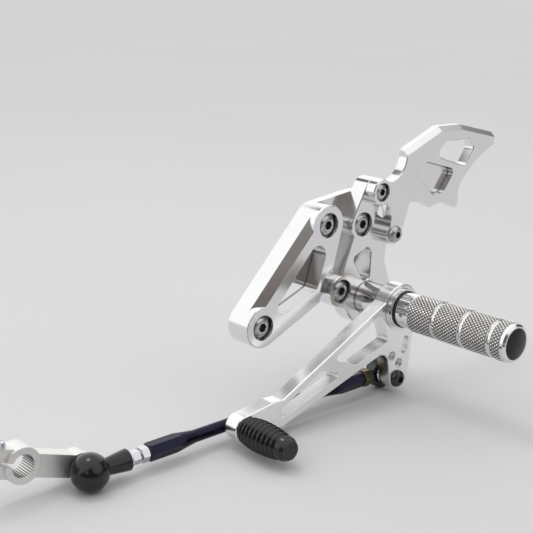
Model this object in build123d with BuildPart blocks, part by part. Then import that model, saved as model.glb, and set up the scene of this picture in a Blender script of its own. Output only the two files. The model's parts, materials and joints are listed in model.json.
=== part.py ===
from build123d import *
import os
from math import acos, asin, atan2, cos, degrees, hypot, radians, sin

# Left, gear-shift rear set of a motorbike, in millimetres.
# +X points to the front of the bike, +Y outboard along the footpeg, +Z up.
# The origin is midway between the two frame bolts, on the base plate's flat back.

# Fits, as gaps on the radius or between faces
bolt_gap = 0.2
thread_gap = 0.05
running_gap = 0.04
press_gap = 0.01
side_play = 0.2
soft_gap = 0.1
counterbore_gap = 0.5
head_recess = 0.6
edge_break = 0.5

# Screws and nuts
m8_thread = 8.0
m8_pitch_dia = 7.2
m8_head_dia = 14.0
m8_head_height = 4.4
m8_socket = 5.0
m8_socket_depth = 2.6
m8_cap_dia = 13.0
m8_cap_height = 8.0
m8_cap_socket = 6.0
m8_cap_socket_depth = 4.0
m6_thread = 6.0
m6_head_dia = 10.5
m6_head_height = 3.3
m6_socket = 4.0
m6_socket_depth = 2.0
m6_flats = 10.0
m6_nut_height = 5.0
m5_thread = 5.0
m5_flats = 8.0
m5_nut_height = 4.5
lock_nut_height = 6.0
bolt_past_nut = 1.5
head_rim_share = 0.25
head_crown_share = 0.42

# Base plate
frame_bolt_dx = 51.0
frame_bolt_dz = 52.0
base_thick = 17.0
web_thick = 6.0
frame_boss_radius = 12.0
base_heel_radius = 6.0
hanger_room_radius = 18.3
rail_face_edge = 7.2
rail_chamfer = 4.8
rail_end_radius = 12.3
base_edge_round = 0.8
pocket_top_radius = 6.4
pocket_corner_radius = 4.5
stud_out = 9.0
adjust_pitch = 10.5
adjust_wall_radius = 8.5
web_notch_radius = 14.0

# Peg hanger
hanger_top_x = -54.5
hanger_top_z = 22.0
hanger_low_x = -37.5
hanger_low_z = -17.0
hanger_thick = 11.0
hanger_boss_radius = 10.0
hanger_strut_radius = 4.8
hanger_rear_strut_radius = 6.0
hanger_lobe_radius = 17.0
hanger_flare_radius = 7.5
hanger_flare_root_radius = 5.6
hanger_window_radius = 3.3
pivot_x = -58.0
pivot_z = -24.5
pivot_boss_dia = 20.0
pivot_boss_length = 19.0

# Heel guard
guard_top_x = -63.6
guard_top_z = 41.5
guard_low_x = -74.4
guard_low_z = 14.0
guard_thick = 7.0
guard_boss_radius = 8.0
guard_foot_radius = 6.6
guard_bevel = 3.0
guard_pocket_depth = 4.5
guard_window_radius = 3.4

# Lever bearing, from the hanger outwards
thrust_washer_thick = 1.2
thrust_washer_dia = 22.0
sleeve_dia = 16.0
bush_dia = 20.0
collar_flange_dia = 27.0
collar_flange_thick = 0.9
collar_dia = 24.5
collar_thick = 3.4
collar_pin_hole = 1.8

# Footpeg
peg_length = 80.2
peg_dia = 22.0
peg_neck_dia = 21.4
peg_neck_length = 10.6
peg_shoulder = 1.0
peg_rim_round = 1.2
peg_groove_first = 29.0
peg_groove_pitch = 20.1
peg_groove_count = 3
peg_groove_width = 2.2
peg_groove_depth = 0.7
peg_neck_hole = 2.4
ring_section = 1.3
ring_proud = 0.3
plug_dia = 18.0
plug_depth = 5.0
plug_dome = 1.2
peg_bolt_grip = 20.0
peg_bolt_runout = 4.0

# Shift lever, in its own frame: along from the pivot to the toe peg, and up from that line
lever_length = 128.4
lever_slope = -19.5
lever_thick = 9.0
lever_hub_radius = 14.5
toe_boss_radius = 7.4
rod_pin_along = 16.7
rod_pin_up = -41.3
tail_end_radius = 7.6
tail_end_behind_pin = 1.8
lever_top_at_hub = 11.2
lever_top_at_neck = 0.2
neck_from_toe = 28.1
platform_run = 7.0
platform_rise = 2.9
lever_low_at_heel = -18.5
lever_low_at_neck = -15.0
heel_along = 37.0
low_corner_from_toe = 23.0
top_strip = 4.0
heel_strip = 5.4
low_strip = 4.8
hub_wall = 1.2
toe_block_from_neck = 3.9
rib_along = 57.5
rib_angle = 39.0
rib_width = 6.5
window_round = 2.2
heel_round = 7.0
tail_slot_width = 5.0
tail_slot_length = 11.0
tail_slot_from_pin = 20.6
tail_slot_from_edge = 5.2
near_spare_hole = 9.8
near_spare_turn = 5.0
far_spare_hole = 16.2
far_spare_turn = -20.0

# Toe peg
toe_rubber_length = 35.6
toe_root_dia = 14.2
toe_swell_dia = 17.8
toe_end_dia = 12.0
toe_swell_share = 0.36
toe_rib_count = 10
toe_groove_width = 1.5
toe_groove_depth = 0.9
toe_core_dia = 9.0
toe_core_end_wall = 3.0
toe_screw_head_dia = 12.0
toe_screw_grip = 16.0

# Shift rod and its ends, measured along the rod from the ball centres
front_ball_x = 152.5
front_ball_z = -69.0
rod_flats = 9.0
rod_hex_length = 18.0
rod_cone_length = 13.0
rod_waist_dia = 7.0
rod_end_chamfer = 1.0
rod_end_spacer_thick = 1.0
rod_end_spacer_dia = 9.0
rod_ball_dia = 12.7
rod_ball_width = 9.0
rod_end_head_dia = 18.5
rod_end_width = 6.8
rear_neck_length = 11.5
thread_engaged = 14.0
thread_runout = 2.0
joint_ball_dia = 8.0
joint_socket_dia = 13.0
joint_socket_cap = 5.5
joint_socket_mouth = 2.8
joint_neck_dia = 6.5
joint_neck_root = 5.5
joint_flange_dia = 9.6
joint_flange_thick = 1.5
joint_hex_length = 5.0
joint_hex_flats = 7.0
joint_nut_gap = 1.0
boot_dia = 20.2
boot_rim = 7.6
boot_waist_dia = 9.4
boot_waist_from_ball = 11.0
boot_bell_dia = 11.8
boot_bell_from_ball = 22.0
boot_mouth_gap = 0.7

# Gearbox arm
arm_hub_dx = 32.5
arm_hub_dz = 11.4
arm_from_ball = 8.3
arm_thick = 9.0
arm_boss_radius = 7.5
arm_hub_radius = 9.5
arm_hub_raise = 1.5
arm_bore_dia = 12.0
arm_waist_radius = 6.0
arm_ear_length = 22.0
arm_ear_height = 15.0
arm_slit = 2.0
pinch_bolt_share = 0.66
stud_neck_dia = 4.8


def section(y):
    """Plane across the footpeg's axis at y, with X to its right and Z up. Its normal points inboard."""
    return Plane.XZ.offset(-y)


def outboard(place, y):
    """Plane at a place (x, z) that faces outboard at y."""
    return Plane(origin=(place[0], y, place[1]), x_dir=(1, 0, 0), z_dir=(0, 1, 0))


def inboard(place, y):
    """Plane at a place (x, z) that faces inboard at y."""
    return Plane(origin=(place[0], y, place[1]), x_dir=(1, 0, 0), z_dir=(0, -1, 0))


def turning_plane(place):
    """Plane for a turned profile round a place (x, z): the outboard distance, then the radius."""
    return Plane(origin=(place[0], 0, place[1]), x_dir=(0, 1, 0), z_dir=(1, 0, 0))


def turning_axis(place):
    """Axis along Y through a place (x, z)."""
    return Axis((place[0], 0, place[1]), (0, 1, 0))


def hull(*rounds):
    """Outline drawn tight round circles, each given as its centre (x, z) and its radius."""
    with BuildSketch() as outline:
        for centre, radius in rounds:
            with Locations(centre):
                Circle(radius)
        make_hull()
    return outline.sketch


def shifted(place, across, up):
    """A place moved forward and up."""
    return (place[0] + across, place[1] + up)


def touching(point, centre, radius):
    """Point where a line from a point touches a circle, on the circle's rear side."""
    away = (point[0] - centre[0], point[1] - centre[1])
    turn = atan2(away[1], away[0]) - acos(radius / hypot(*away))
    return shifted(centre, radius * cos(turn), radius * sin(turn))


def button_screw(thread, head_dia, head_height, socket, socket_depth, length):
    """Button-head screw that points down from its seat at the origin."""
    rim = (head_dia / 2, head_height * head_rim_share)
    crown = (head_dia / 2 * head_crown_share, head_height)
    between = (head_dia / 2 * 0.82, head_height * 0.74)
    with BuildPart() as screw:
        with BuildSketch(Plane.XZ):
            with BuildLine():
                Polyline((0, head_height), (0, -length), (thread / 2, -length), (thread / 2, 0))
                Polyline((thread / 2, 0), (head_dia / 2, 0), rim)
                ThreePointArc(rim, between, crown)
                Line(crown, (0, head_height))
            make_face()
        revolve(axis=Axis.Z)
        with BuildSketch(Plane.XY.offset(head_height)):
            RegularPolygon(socket / 2, 6, major_radius=False)
        extrude(amount=-socket_depth, mode=Mode.SUBTRACT)
    return screw.part


def hex_nut(flats, height, thread):
    """Hexagon nut that stands on the origin, with its outer corners turned off."""
    corner = flats / 2 / cos(radians(30))
    drop = (corner - flats / 2) * 0.6
    with BuildPart() as nut:
        with BuildSketch():
            RegularPolygon(flats / 2, 6, major_radius=False)
            Circle(thread / 2 + thread_gap, mode=Mode.SUBTRACT)
        extrude(amount=height)
        with BuildSketch(Plane.XZ):
            with BuildLine():
                Polyline((0, 0), (flats / 2, 0), (corner, drop), (corner, height - drop))
                Polyline((corner, height - drop), (flats / 2, height), (0, height), (0, 0))
            make_face()
        revolve(axis=Axis.Z, mode=Mode.INTERSECT)
    return nut.part


# Places across the plate, as (x, z)
frame_front = (frame_bolt_dx / 2, -frame_bolt_dz / 2)
frame_rear = (-frame_bolt_dx / 2, frame_bolt_dz / 2)
hanger_top = (hanger_top_x, hanger_top_z)
hanger_low = (hanger_low_x, hanger_low_z)
pivot = (pivot_x, pivot_z)
guard_top = (guard_top_x, guard_top_z)
guard_low = (guard_low_x, guard_low_z)

# Levels outwards from the frame
hanger_back = web_thick
hanger_face = hanger_back + hanger_thick
guard_face = hanger_face + guard_thick
boss_end = hanger_face + pivot_boss_length
lever_back = boss_end + thrust_washer_thick + side_play
lever_face = lever_back + lever_thick
collar_back = lever_face + side_play
peg_root = collar_back + collar_thick
peg_end = peg_root + peg_length
rod_level = lever_back - rod_end_spacer_thick - rod_ball_width / 2
arm_face = rod_level - arm_from_ball
arm_back = arm_face - arm_thick

# Base plate
base_heel = shifted(hanger_low, 17.5, 3.8)
adjust_steps = [(0, 0), (0, adjust_pitch), (-adjust_pitch, 0), (-adjust_pitch, adjust_pitch)]
top_holes = [shifted(hanger_top, *step) for step in adjust_steps]
low_holes = [shifted(hanger_low, *step) for step in adjust_steps]
frame_outline = hull(
    (frame_front, frame_boss_radius),
    (frame_rear, frame_boss_radius),
    (base_heel, base_heel_radius),
)
web_outline = hull(
    (frame_rear, frame_boss_radius),
    (base_heel, base_heel_radius),
    *[(hole, adjust_wall_radius) for hole in top_holes + low_holes],
)
pocket_outline = hull(
    (shifted(frame_rear, 8.7, -17.2), pocket_top_radius),
    (shifted(frame_front, -15.5, 9.2), pocket_corner_radius),
    (shifted(base_heel, 7.0, 5.0), pocket_corner_radius),
)
web_notch = shifted(hanger_top, -21.0, -21.0)
rail_section = Plane(
    origin=(0, 0, 0), x_dir=(frame_bolt_dz, 0, frame_bolt_dx), z_dir=(frame_bolt_dx, 0, -frame_bolt_dz)
)
rail_cut_edge = rail_face_edge + 2 * rail_chamfer
with BuildPart() as rail_cut:
    with BuildSketch(rail_section):
        with BuildLine():
            Polyline(
                (rail_face_edge, -base_thick),
                (rail_cut_edge, -base_thick),
                (rail_cut_edge, 2 * rail_chamfer - base_thick),
                close=True,
            )
        make_face()
    extrude(amount=hypot(frame_bolt_dx, frame_bolt_dz) / 2, both=True)
    with BuildSketch(section(base_thick)):
        with Locations(frame_front, frame_rear):
            Circle(rail_end_radius)
    extrude(amount=base_thick, mode=Mode.SUBTRACT)
with BuildPart() as base_plate:
    with BuildSketch(section(0)):
        add(frame_outline)
        add(web_outline)
        with Locations(web_notch):
            Circle(web_notch_radius, mode=Mode.SUBTRACT)
    extrude(amount=-web_thick)
    with BuildSketch(section(0)):
        add(frame_outline)
        with Locations(hanger_low):
            Circle(hanger_room_radius, mode=Mode.SUBTRACT)
    extrude(amount=-base_thick)
    fillet(base_plate.faces().sort_by(Axis.Y)[-1].outer_wire().edges(), base_edge_round)
    with BuildSketch(section(base_thick)):
        add(pocket_outline)
    extrude(amount=base_thick - web_thick, mode=Mode.SUBTRACT)
    add(rail_cut, mode=Mode.SUBTRACT)
    with Locations(*[outboard(place, base_thick) for place in (frame_front, frame_rear)]):
        CounterBoreHole(
            m8_thread / 2 + bolt_gap,
            m8_head_dia / 2 + counterbore_gap,
            m8_head_height + head_recess,
        )
    with Locations(*[outboard(place, web_thick) for place in top_holes + low_holes]):
        Hole(m8_thread / 2 + thread_gap)

# Bolts into the bike's frame: a plain shank through the plate, then the threaded end at its pitch diameter
frame_bolt_seat = base_thick - m8_head_height - head_recess
frame_screw = button_screw(
    m8_thread, m8_head_dia, m8_head_height, m8_socket, m8_socket_depth, frame_bolt_seat
)
with BuildPart() as frame_bolts:
    for place in (frame_front, frame_rear):
        with Locations(outboard(place, frame_bolt_seat)):
            add(frame_screw)
        with BuildSketch(inboard(place, 0)):
            Circle(m8_pitch_dia / 2)
        extrude(amount=stud_out)

# Peg hanger with its pivot boss
rear_strut_top = shifted(guard_low, 4.5, -2.0)
rear_strut_low = shifted(pivot, -8.5, 8.0)
rear_flare = shifted(pivot, -14.3, 3.0)
rear_flare_root = shifted(pivot, -10.3, 20.5)
hanger_window = hull(
    (shifted(pivot, -0.5, 28.0), hanger_window_radius),
    (shifted(pivot, 7.6, 25.0), hanger_window_radius),
    (shifted(pivot, 0.4, 14.1), hanger_window_radius),
)
hanger_outlines = [
    hull((hanger_top, hanger_boss_radius), (guard_top, guard_boss_radius)),
    hull((hanger_top, hanger_boss_radius), (guard_low, guard_foot_radius)),
    hull(
        (hanger_top, hanger_strut_radius),
        (hanger_low, hanger_strut_radius),
        (rear_strut_top, hanger_rear_strut_radius),
        (rear_strut_low, hanger_rear_strut_radius),
    ),
    hull(
        (rear_flare_root, hanger_flare_root_radius),
        (rear_flare, hanger_flare_radius),
        (pivot, pivot_boss_dia / 2),
    ),
    hull((hanger_low, hanger_boss_radius), (pivot, pivot_boss_dia / 2)),
    hull((pivot, hanger_lobe_radius)),
]
with BuildPart() as peg_hanger:
    with BuildSketch(section(hanger_back)):
        for outline in hanger_outlines:
            add(outline)
        add(hanger_window, mode=Mode.SUBTRACT)
    extrude(amount=-hanger_thick)
    chamfer(peg_hanger.faces().sort_by(Axis.Y)[-1].edges(), edge_break)
    with BuildSketch(section(hanger_back)):
        with Locations(pivot):
            Circle(pivot_boss_dia / 2)
    extrude(amount=-(hanger_thick + pivot_boss_length))
    with Locations(*[outboard(place, hanger_face) for place in (hanger_top, hanger_low)]):
        CounterBoreHole(
            m8_thread / 2 + bolt_gap,
            m8_head_dia / 2 + counterbore_gap,
            m8_head_height + head_recess,
        )
    with Locations(*[outboard(place, hanger_face) for place in (guard_top, guard_low)]):
        Hole(m6_thread / 2 + thread_gap)
    with Locations(inboard(pivot, hanger_back)):
        CounterBoreHole(
            m8_thread / 2 + bolt_gap, m8_cap_dia / 2 + counterbore_gap, m8_cap_height + head_recess
        )

# Bolts from the hanger into the base plate
hanger_bolt_seat = hanger_face - m8_head_height - head_recess
hanger_screw = button_screw(
    m8_thread, m8_head_dia, m8_head_height, m8_socket, m8_socket_depth, hanger_bolt_seat - edge_break
)
with BuildPart() as hanger_bolts:
    with Locations(*[outboard(place, hanger_bolt_seat) for place in (hanger_top, hanger_low)]):
        add(hanger_screw)

# Heel guard, drawn from its top bolt: rearward, then up
guard_plane = Plane(origin=(guard_top_x, hanger_face, guard_top_z), x_dir=(-1, 0, 0), z_dir=(0, 1, 0))
low = (guard_top_x - guard_low_x, guard_low_z - guard_top_z)
neck_top = (guard_boss_radius * cos(radians(45)), guard_boss_radius * sin(radians(45)))
neck_low = (guard_boss_radius * sin(radians(26)), -guard_boss_radius * cos(radians(26)))
front_top = (20.3, 22.9)
upper_bend = (51.2, 34.5)
rear_bend = (72.1, 33.6)
tip_top = (105.0, 25.4)
tip_low = (105.0, 17.4)
rear_waist = (70.6, -6.5)
first_tooth = (70.0, -22.2)
second_tooth = (43.3, -16.0)
leg_top = (24.4, -9.8)
leg_front = shifted(low, -guard_foot_radius * cos(radians(7)), guard_foot_radius * sin(radians(7)))
leg_rear = touching(leg_top, low, guard_foot_radius)
guard_corners = {
    neck_top: 2.0,
    front_top: 1.0,
    tip_top: 2.5,
    tip_low: 2.0,
    rear_waist: 5.0,
    first_tooth: 2.5,
    second_tooth: 2.0,
    leg_top: 3.0,
    leg_front: 2.0,
    neck_low: 2.0,
}
guard_window = hull(
    ((54.0, 17.9), guard_window_radius),
    ((58.4, 21.3), guard_window_radius),
    ((78.8, 20.5), guard_window_radius),
    ((80.2, 18.5), guard_window_radius),
    ((74.2, 10.9), guard_window_radius),
)
guard_pocket = hull(
    ((33.0, 8.8), guard_window_radius),
    ((39.5, 10.4), guard_window_radius),
    ((60.8, 4.1), guard_window_radius),
    ((54.0, -4.5), guard_window_radius),
    ((46.8, -4.7), guard_window_radius),
)


def bevel_plane(start, end):
    """Plane at 45 degrees that bevels the guard's face along the edge between two points."""
    run = hypot(end[0] - start[0], end[1] - start[1])
    edge = (-(end[0] - start[0]) / run, 0, (end[1] - start[1]) / run)
    across = (edge[2], 0, -edge[0])
    corner = (guard_top_x - start[0], guard_face - guard_bevel, guard_top_z + start[1])
    return Plane(origin=corner, x_dir=edge, z_dir=(across[0], 1, across[2]))


with BuildPart() as heel_guard:
    with BuildSketch(guard_plane) as guard_outline:
        with BuildLine():
            ThreePointArc(neck_top, (14.5, 8.6), front_top)
            Polyline(front_top, upper_bend, rear_bend, tip_top, tip_low)
            ThreePointArc(tip_low, (83.7, 6.3), rear_waist)
            Line(rear_waist, first_tooth)
            ThreePointArc(first_tooth, (53.5, -14.3), second_tooth)
            ThreePointArc(second_tooth, (33.2, -10.9), leg_top)
            Line(leg_top, leg_rear)
            ThreePointArc(leg_rear, shifted(low, 0, -guard_foot_radius), leg_front)
            ThreePointArc(leg_front, shifted(low, -3.3, 11.0), neck_low)
            ThreePointArc(neck_low, (-guard_boss_radius, 0), neck_top)
        make_face()
        for corner, radius in guard_corners.items():
            fillet(guard_outline.vertices().sort_by_distance((*corner, 0))[0], radius)
        add(guard_window, mode=Mode.SUBTRACT)
    extrude(amount=guard_thick)
    chamfer(heel_guard.faces().sort_by(Axis.Y)[-1].edges(), edge_break)
    for edge in ((front_top, upper_bend), (upper_bend, rear_bend), (rear_bend, tip_top)):
        split(bisect_by=bevel_plane(*edge), keep=Keep.BOTTOM)
    with BuildSketch(guard_plane.offset(guard_thick)):
        add(guard_pocket)
    extrude(amount=-guard_pocket_depth, mode=Mode.SUBTRACT)
    with Locations(outboard(guard_top, guard_face)):
        CounterBoreHole(
            m6_thread / 2 + bolt_gap,
            m6_head_dia / 2 + counterbore_gap,
            m6_head_height + head_recess,
        )
    with Locations(outboard(guard_low, guard_face)):
        Hole(m6_thread / 2 + bolt_gap)

# Heel guard bolts: the upper one sunk, the lower one proud
guard_top_seat = guard_face - m6_head_height - head_recess
guard_top_screw = button_screw(
    m6_thread, m6_head_dia, m6_head_height, m6_socket, m6_socket_depth, guard_top_seat - hanger_back
)
guard_low_screw = button_screw(
    m6_thread, m6_head_dia, m6_head_height, m6_socket, m6_socket_depth, guard_face - hanger_back
)
with BuildPart() as heel_guard_bolts:
    with Locations(outboard(guard_top, guard_top_seat)):
        add(guard_top_screw)
    with Locations(outboard(guard_low, guard_face)):
        add(guard_low_screw)

# Sleeve that the lever turns on, clamped between the pivot boss and the collar
peg_bolt_hole = m8_thread / 2 + bolt_gap
with BuildPart() as pivot_sleeve:
    with BuildSketch(inboard(pivot, boss_end)):
        Circle(sleeve_dia / 2)
        Circle(peg_bolt_hole, mode=Mode.SUBTRACT)
    extrude(amount=boss_end - collar_back)

# Washer between the pivot boss and the lever
with BuildPart() as thrust_washer:
    with BuildSketch(inboard(pivot, boss_end)):
        Circle(thrust_washer_dia / 2)
        Circle(sleeve_dia / 2 + bolt_gap, mode=Mode.SUBTRACT)
    extrude(amount=-thrust_washer_thick)

# Stepped collar between the lever and the footpeg, with one pin-spanner hole
with BuildPart() as pivot_collar:
    with BuildSketch(turning_plane(pivot)):
        with BuildLine():
            Polyline(
                (collar_back, peg_bolt_hole),
                (collar_back, collar_flange_dia / 2),
                (collar_back + collar_flange_thick, collar_flange_dia / 2),
                (collar_back + collar_flange_thick, collar_dia / 2),
                (peg_root, collar_dia / 2),
                (peg_root, peg_bolt_hole),
                close=True,
            )
        make_face()
    revolve(axis=turning_axis(pivot))
    pin_hole_level = (collar_back + collar_flange_thick + peg_root) / 2
    with BuildSketch(Plane(origin=(pivot_x, pin_hole_level, pivot_z), z_dir=(1, 0, 0))):
        Circle(collar_pin_hole / 2)
    extrude(amount=collar_flange_dia / 2, mode=Mode.SUBTRACT)

# Footpeg
ring_seat_radius = peg_dia / 2 + ring_proud - ring_section
ring_groove = ring_section + soft_gap
groove_places = [
    (peg_root + peg_groove_first + index * peg_groove_pitch, peg_dia / 2)
    for index in range(peg_groove_count)
]
with BuildPart() as footpeg:
    with BuildSketch(turning_plane(pivot)):
        with BuildLine():
            Polyline(
                (peg_root, 0),
                (peg_root, ring_seat_radius),
                (peg_root + ring_groove, ring_seat_radius),
                (peg_root + ring_groove, peg_neck_dia / 2),
                (peg_root + peg_neck_length - peg_shoulder, peg_neck_dia / 2),
                (peg_root + peg_neck_length, peg_dia / 2),
                (peg_end - peg_rim_round, peg_dia / 2),
                (peg_end, peg_dia / 2 - peg_rim_round),
                (peg_end, 0),
                close=True,
            )
        make_face()
    revolve(axis=turning_axis(pivot))
    with BuildSketch(turning_plane(pivot)):
        with Locations(*groove_places):
            Rectangle(peg_groove_width, 2 * peg_groove_depth)
    revolve(axis=turning_axis(pivot), mode=Mode.SUBTRACT)
    with Locations(outboard(pivot, peg_end)):
        Hole(plug_dia / 2, depth=plug_depth)
    with Locations(inboard(pivot, peg_root)):
        Hole(m8_thread / 2 + thread_gap, depth=peg_bolt_grip + peg_bolt_runout)
    neck_middle = peg_root + (ring_groove + peg_neck_length - peg_shoulder) / 2
    with Locations(Plane(origin=(pivot_x + peg_neck_dia / 2, neck_middle, pivot_z), z_dir=(1, 0, 0))):
        Hole(peg_neck_hole / 2, depth=peg_neck_dia / 5)

# Black ring at the footpeg's root
with BuildPart() as peg_o_ring:
    with BuildSketch(turning_plane(pivot)):
        with Locations((peg_root + ring_groove / 2, ring_seat_radius + ring_section / 2)):
            Circle(ring_section / 2 - press_gap)
    revolve(axis=turning_axis(pivot))

# Plastic plug in the footpeg's end
plug_radius = plug_dia / 2 - press_gap
dome_radius = (plug_radius**2 + plug_dome**2) / (2 * plug_dome)
dome_half_turn = asin(plug_radius / dome_radius) / 2
dome_centre = peg_end + plug_dome - dome_radius
with BuildPart() as footpeg_end_plug:
    with BuildSketch(turning_plane(pivot)):
        with BuildLine():
            Polyline(
                (peg_end + plug_dome, 0),
                (peg_end - plug_depth, 0),
                (peg_end - plug_depth, plug_radius),
                (peg_end, plug_radius),
            )
            ThreePointArc(
                (peg_end, plug_radius),
                (dome_centre + dome_radius * cos(dome_half_turn), dome_radius * sin(dome_half_turn)),
                (peg_end + plug_dome, 0),
            )
        make_face()
    revolve(axis=turning_axis(pivot))

# Bolt from the hanger's back into the footpeg
peg_bolt_seat = hanger_back + m8_cap_height + head_recess
with BuildPart() as footpeg_bolt:
    with BuildSketch(inboard(pivot, peg_bolt_seat)):
        Circle(m8_cap_dia / 2)
    extrude(amount=m8_cap_height)
    with BuildSketch(inboard(pivot, peg_bolt_seat)):
        Circle(m8_thread / 2)
    extrude(amount=peg_bolt_seat - peg_root - peg_bolt_grip)
    with BuildSketch(inboard(pivot, hanger_back + head_recess)):
        RegularPolygon(m8_cap_socket / 2, 6, major_radius=False)
    extrude(amount=-m8_cap_socket_depth, mode=Mode.SUBTRACT)

# Shift lever, drawn in its own frame
lever_run = (cos(radians(lever_slope)), sin(radians(lever_slope)))


def lever_place(along, up):
    """Place (x, z) of a point given along and above the line from the pivot to the toe peg."""
    return (
        pivot_x + along * lever_run[0] - up * lever_run[1],
        pivot_z + along * lever_run[1] + up * lever_run[0],
    )


def lever_plane(y):
    """The lever's drawing plane at y, with its normal pointing inboard."""
    return Plane(
        origin=(pivot_x, y, pivot_z), x_dir=(lever_run[0], 0, lever_run[1]), z_dir=(0, -1, 0)
    )


def on_line(start, end, along):
    """Point at a given distance along X on the line through two points."""
    share = (along - start[0]) / (end[0] - start[0])
    return (along, start[1] + share * (end[1] - start[1]))


toe = lever_place(lever_length, 0)
rod_pin = lever_place(rod_pin_along, rod_pin_up)
top_hub = (0, lever_top_at_hub)
top_neck = (lever_length - neck_from_toe, lever_top_at_neck)
low_heel = (heel_along, lever_low_at_heel)
low_neck = (lever_length - low_corner_from_toe, lever_low_at_neck)
top_slope = atan2(top_neck[1] - top_hub[1], top_neck[0])
strip_top = [shifted(point, 0, -top_strip / cos(top_slope)) for point in (top_hub, top_neck)]
strip_low = [shifted(low_heel, 0, heel_strip), shifted(low_neck, 0, low_strip)]
window_start = lever_hub_radius + hub_wall
window_end = lever_length - neck_from_toe + toe_block_from_neck
window_corners = [
    on_line(*strip_top, window_start),
    on_line(*strip_top, window_end),
    on_line(*strip_low, window_end),
    on_line(*strip_low, window_start),
]
rib_middle = (on_line(*strip_top, rib_along)[1] + on_line(*strip_low, rib_along)[1]) / 2
tail_end = (rod_pin_along - tail_end_behind_pin, rod_pin_up)
pin_reach = hypot(rod_pin_along, rod_pin_up)
tail_run = (rod_pin_along / pin_reach, rod_pin_up / pin_reach)
tail_angle = degrees(atan2(rod_pin_up, rod_pin_along))
tail_taper = degrees(asin((lever_hub_radius - tail_end_radius) / pin_reach))
tail_half_width = tail_end_radius + tail_slot_from_pin * sin(radians(tail_taper))
slot_offset = tail_half_width - tail_slot_from_edge
slot_middle = (
    rod_pin_along - tail_slot_from_pin * tail_run[0] + slot_offset * tail_run[1],
    rod_pin_up - tail_slot_from_pin * tail_run[1] - slot_offset * tail_run[0],
)
spare_holes = [
    lever_place(
        rod_pin_along - reach * cos(radians(tail_angle + turn)),
        rod_pin_up - reach * sin(radians(tail_angle + turn)),
    )
    for reach, turn in ((near_spare_hole, near_spare_turn), (far_spare_hole, far_spare_turn))
]
with BuildPart() as shift_lever:
    with BuildSketch(lever_plane(lever_back)) as lever_outline:
        with BuildLine():
            Polyline(
                top_hub,
                top_neck,
                shifted(top_neck, platform_run, platform_rise),
                (lever_length, toe_boss_radius),
                (lever_length, -toe_boss_radius),
                low_neck,
                on_line(low_heel, low_neck, 0),
                close=True,
            )
        make_face()
        with Locations((lever_length, 0)):
            Circle(toe_boss_radius)
        add(hull(((0, 0), lever_hub_radius), (tail_end, tail_end_radius)))
        fillet(lever_outline.vertices().sort_by_distance((*low_heel, 0))[0], heel_round)
    extrude(amount=-lever_thick)
    chamfer(shift_lever.faces().sort_by(Axis.Y)[-1].edges(), edge_break)
    with BuildSketch(lever_plane(lever_back)) as windows:
        Polygon(*window_corners, align=None)
        with Locations(Location((rib_along, rib_middle, 0), (0, 0, rib_angle))):
            Rectangle(2 * lever_length, rib_width, mode=Mode.SUBTRACT)
        fillet(windows.vertices(), window_round)
    extrude(amount=-lever_thick, mode=Mode.SUBTRACT)
    with BuildSketch(lever_plane(lever_back)):
        with Locations(Location((*slot_middle, 0), (0, 0, tail_angle + tail_taper))):
            SlotOverall(tail_slot_length, tail_slot_width)
    extrude(amount=-lever_thick, mode=Mode.SUBTRACT)
    with Locations(outboard(pivot, lever_face)):
        Hole(bush_dia / 2)
    with Locations(*[outboard(place, lever_face) for place in (rod_pin, *spare_holes)]):
        Hole(m6_thread / 2 + thread_gap)
    with Locations(inboard(toe, lever_back)):
        CounterSinkHole(m6_thread / 2 + bolt_gap, toe_screw_head_dia / 2 + bolt_gap, counter_sink_angle=90)

# Bush pressed into the lever's hub
with BuildPart() as lever_bush:
    with BuildSketch(inboard(pivot, lever_back)):
        Circle(bush_dia / 2 - press_gap)
        Circle(sleeve_dia / 2 + running_gap, mode=Mode.SUBTRACT)
    extrude(amount=-lever_thick)

# Core of the toe peg, tapped for its screw
toe_core_length = toe_rubber_length - toe_core_end_wall
with BuildPart() as toe_peg_core:
    with BuildSketch(inboard(toe, lever_face)):
        Circle(toe_core_dia / 2)
    extrude(amount=-toe_core_length)
    with Locations(inboard(toe, lever_face)):
        Hole(m6_thread / 2 + thread_gap, depth=toe_screw_grip + thread_runout)

# Ribbed rubber over the core
toe_end = lever_face + toe_rubber_length
toe_swell = lever_face + toe_rubber_length * toe_swell_share
toe_rib_pitch = toe_rubber_length / (toe_rib_count + 1)


def toe_radius(y):
    """Radius of the rubber at y: it swells from its root, then tapers to its end."""
    if y < toe_swell:
        share = (toe_swell - y) / (toe_swell - lever_face)
        return toe_swell_dia / 2 - (toe_swell_dia - toe_root_dia) / 2 * share**2
    share = (y - toe_swell) / (toe_end - toe_swell)
    return toe_swell_dia / 2 - (toe_swell_dia - toe_end_dia) / 2 * share**2


toe_grooves = [lever_face + (index + 1) * toe_rib_pitch for index in range(toe_rib_count)]
toe_mid = (toe_swell + toe_end) / 2
with BuildPart() as toe_peg_rubber:
    with BuildSketch(turning_plane(toe)):
        with BuildLine():
            Polyline(
                (toe_end, toe_radius(toe_end)),
                (toe_end, 0),
                (lever_face + toe_core_length, 0),
                (lever_face + toe_core_length, toe_core_dia / 2 + press_gap),
                (lever_face, toe_core_dia / 2 + press_gap),
                (lever_face, toe_radius(lever_face)),
            )
            Spline(
                (lever_face, toe_radius(lever_face)),
                (toe_swell, toe_radius(toe_swell)),
                (toe_mid, toe_radius(toe_mid)),
                (toe_end, toe_radius(toe_end)),
            )
        make_face()
    revolve(axis=turning_axis(toe))
    for groove in toe_grooves:
        with BuildSketch(turning_plane(toe)):
            with Locations((groove, toe_radius(groove))):
                Rectangle(toe_groove_width, 2 * toe_groove_depth)
        revolve(axis=turning_axis(toe), mode=Mode.SUBTRACT)

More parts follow.
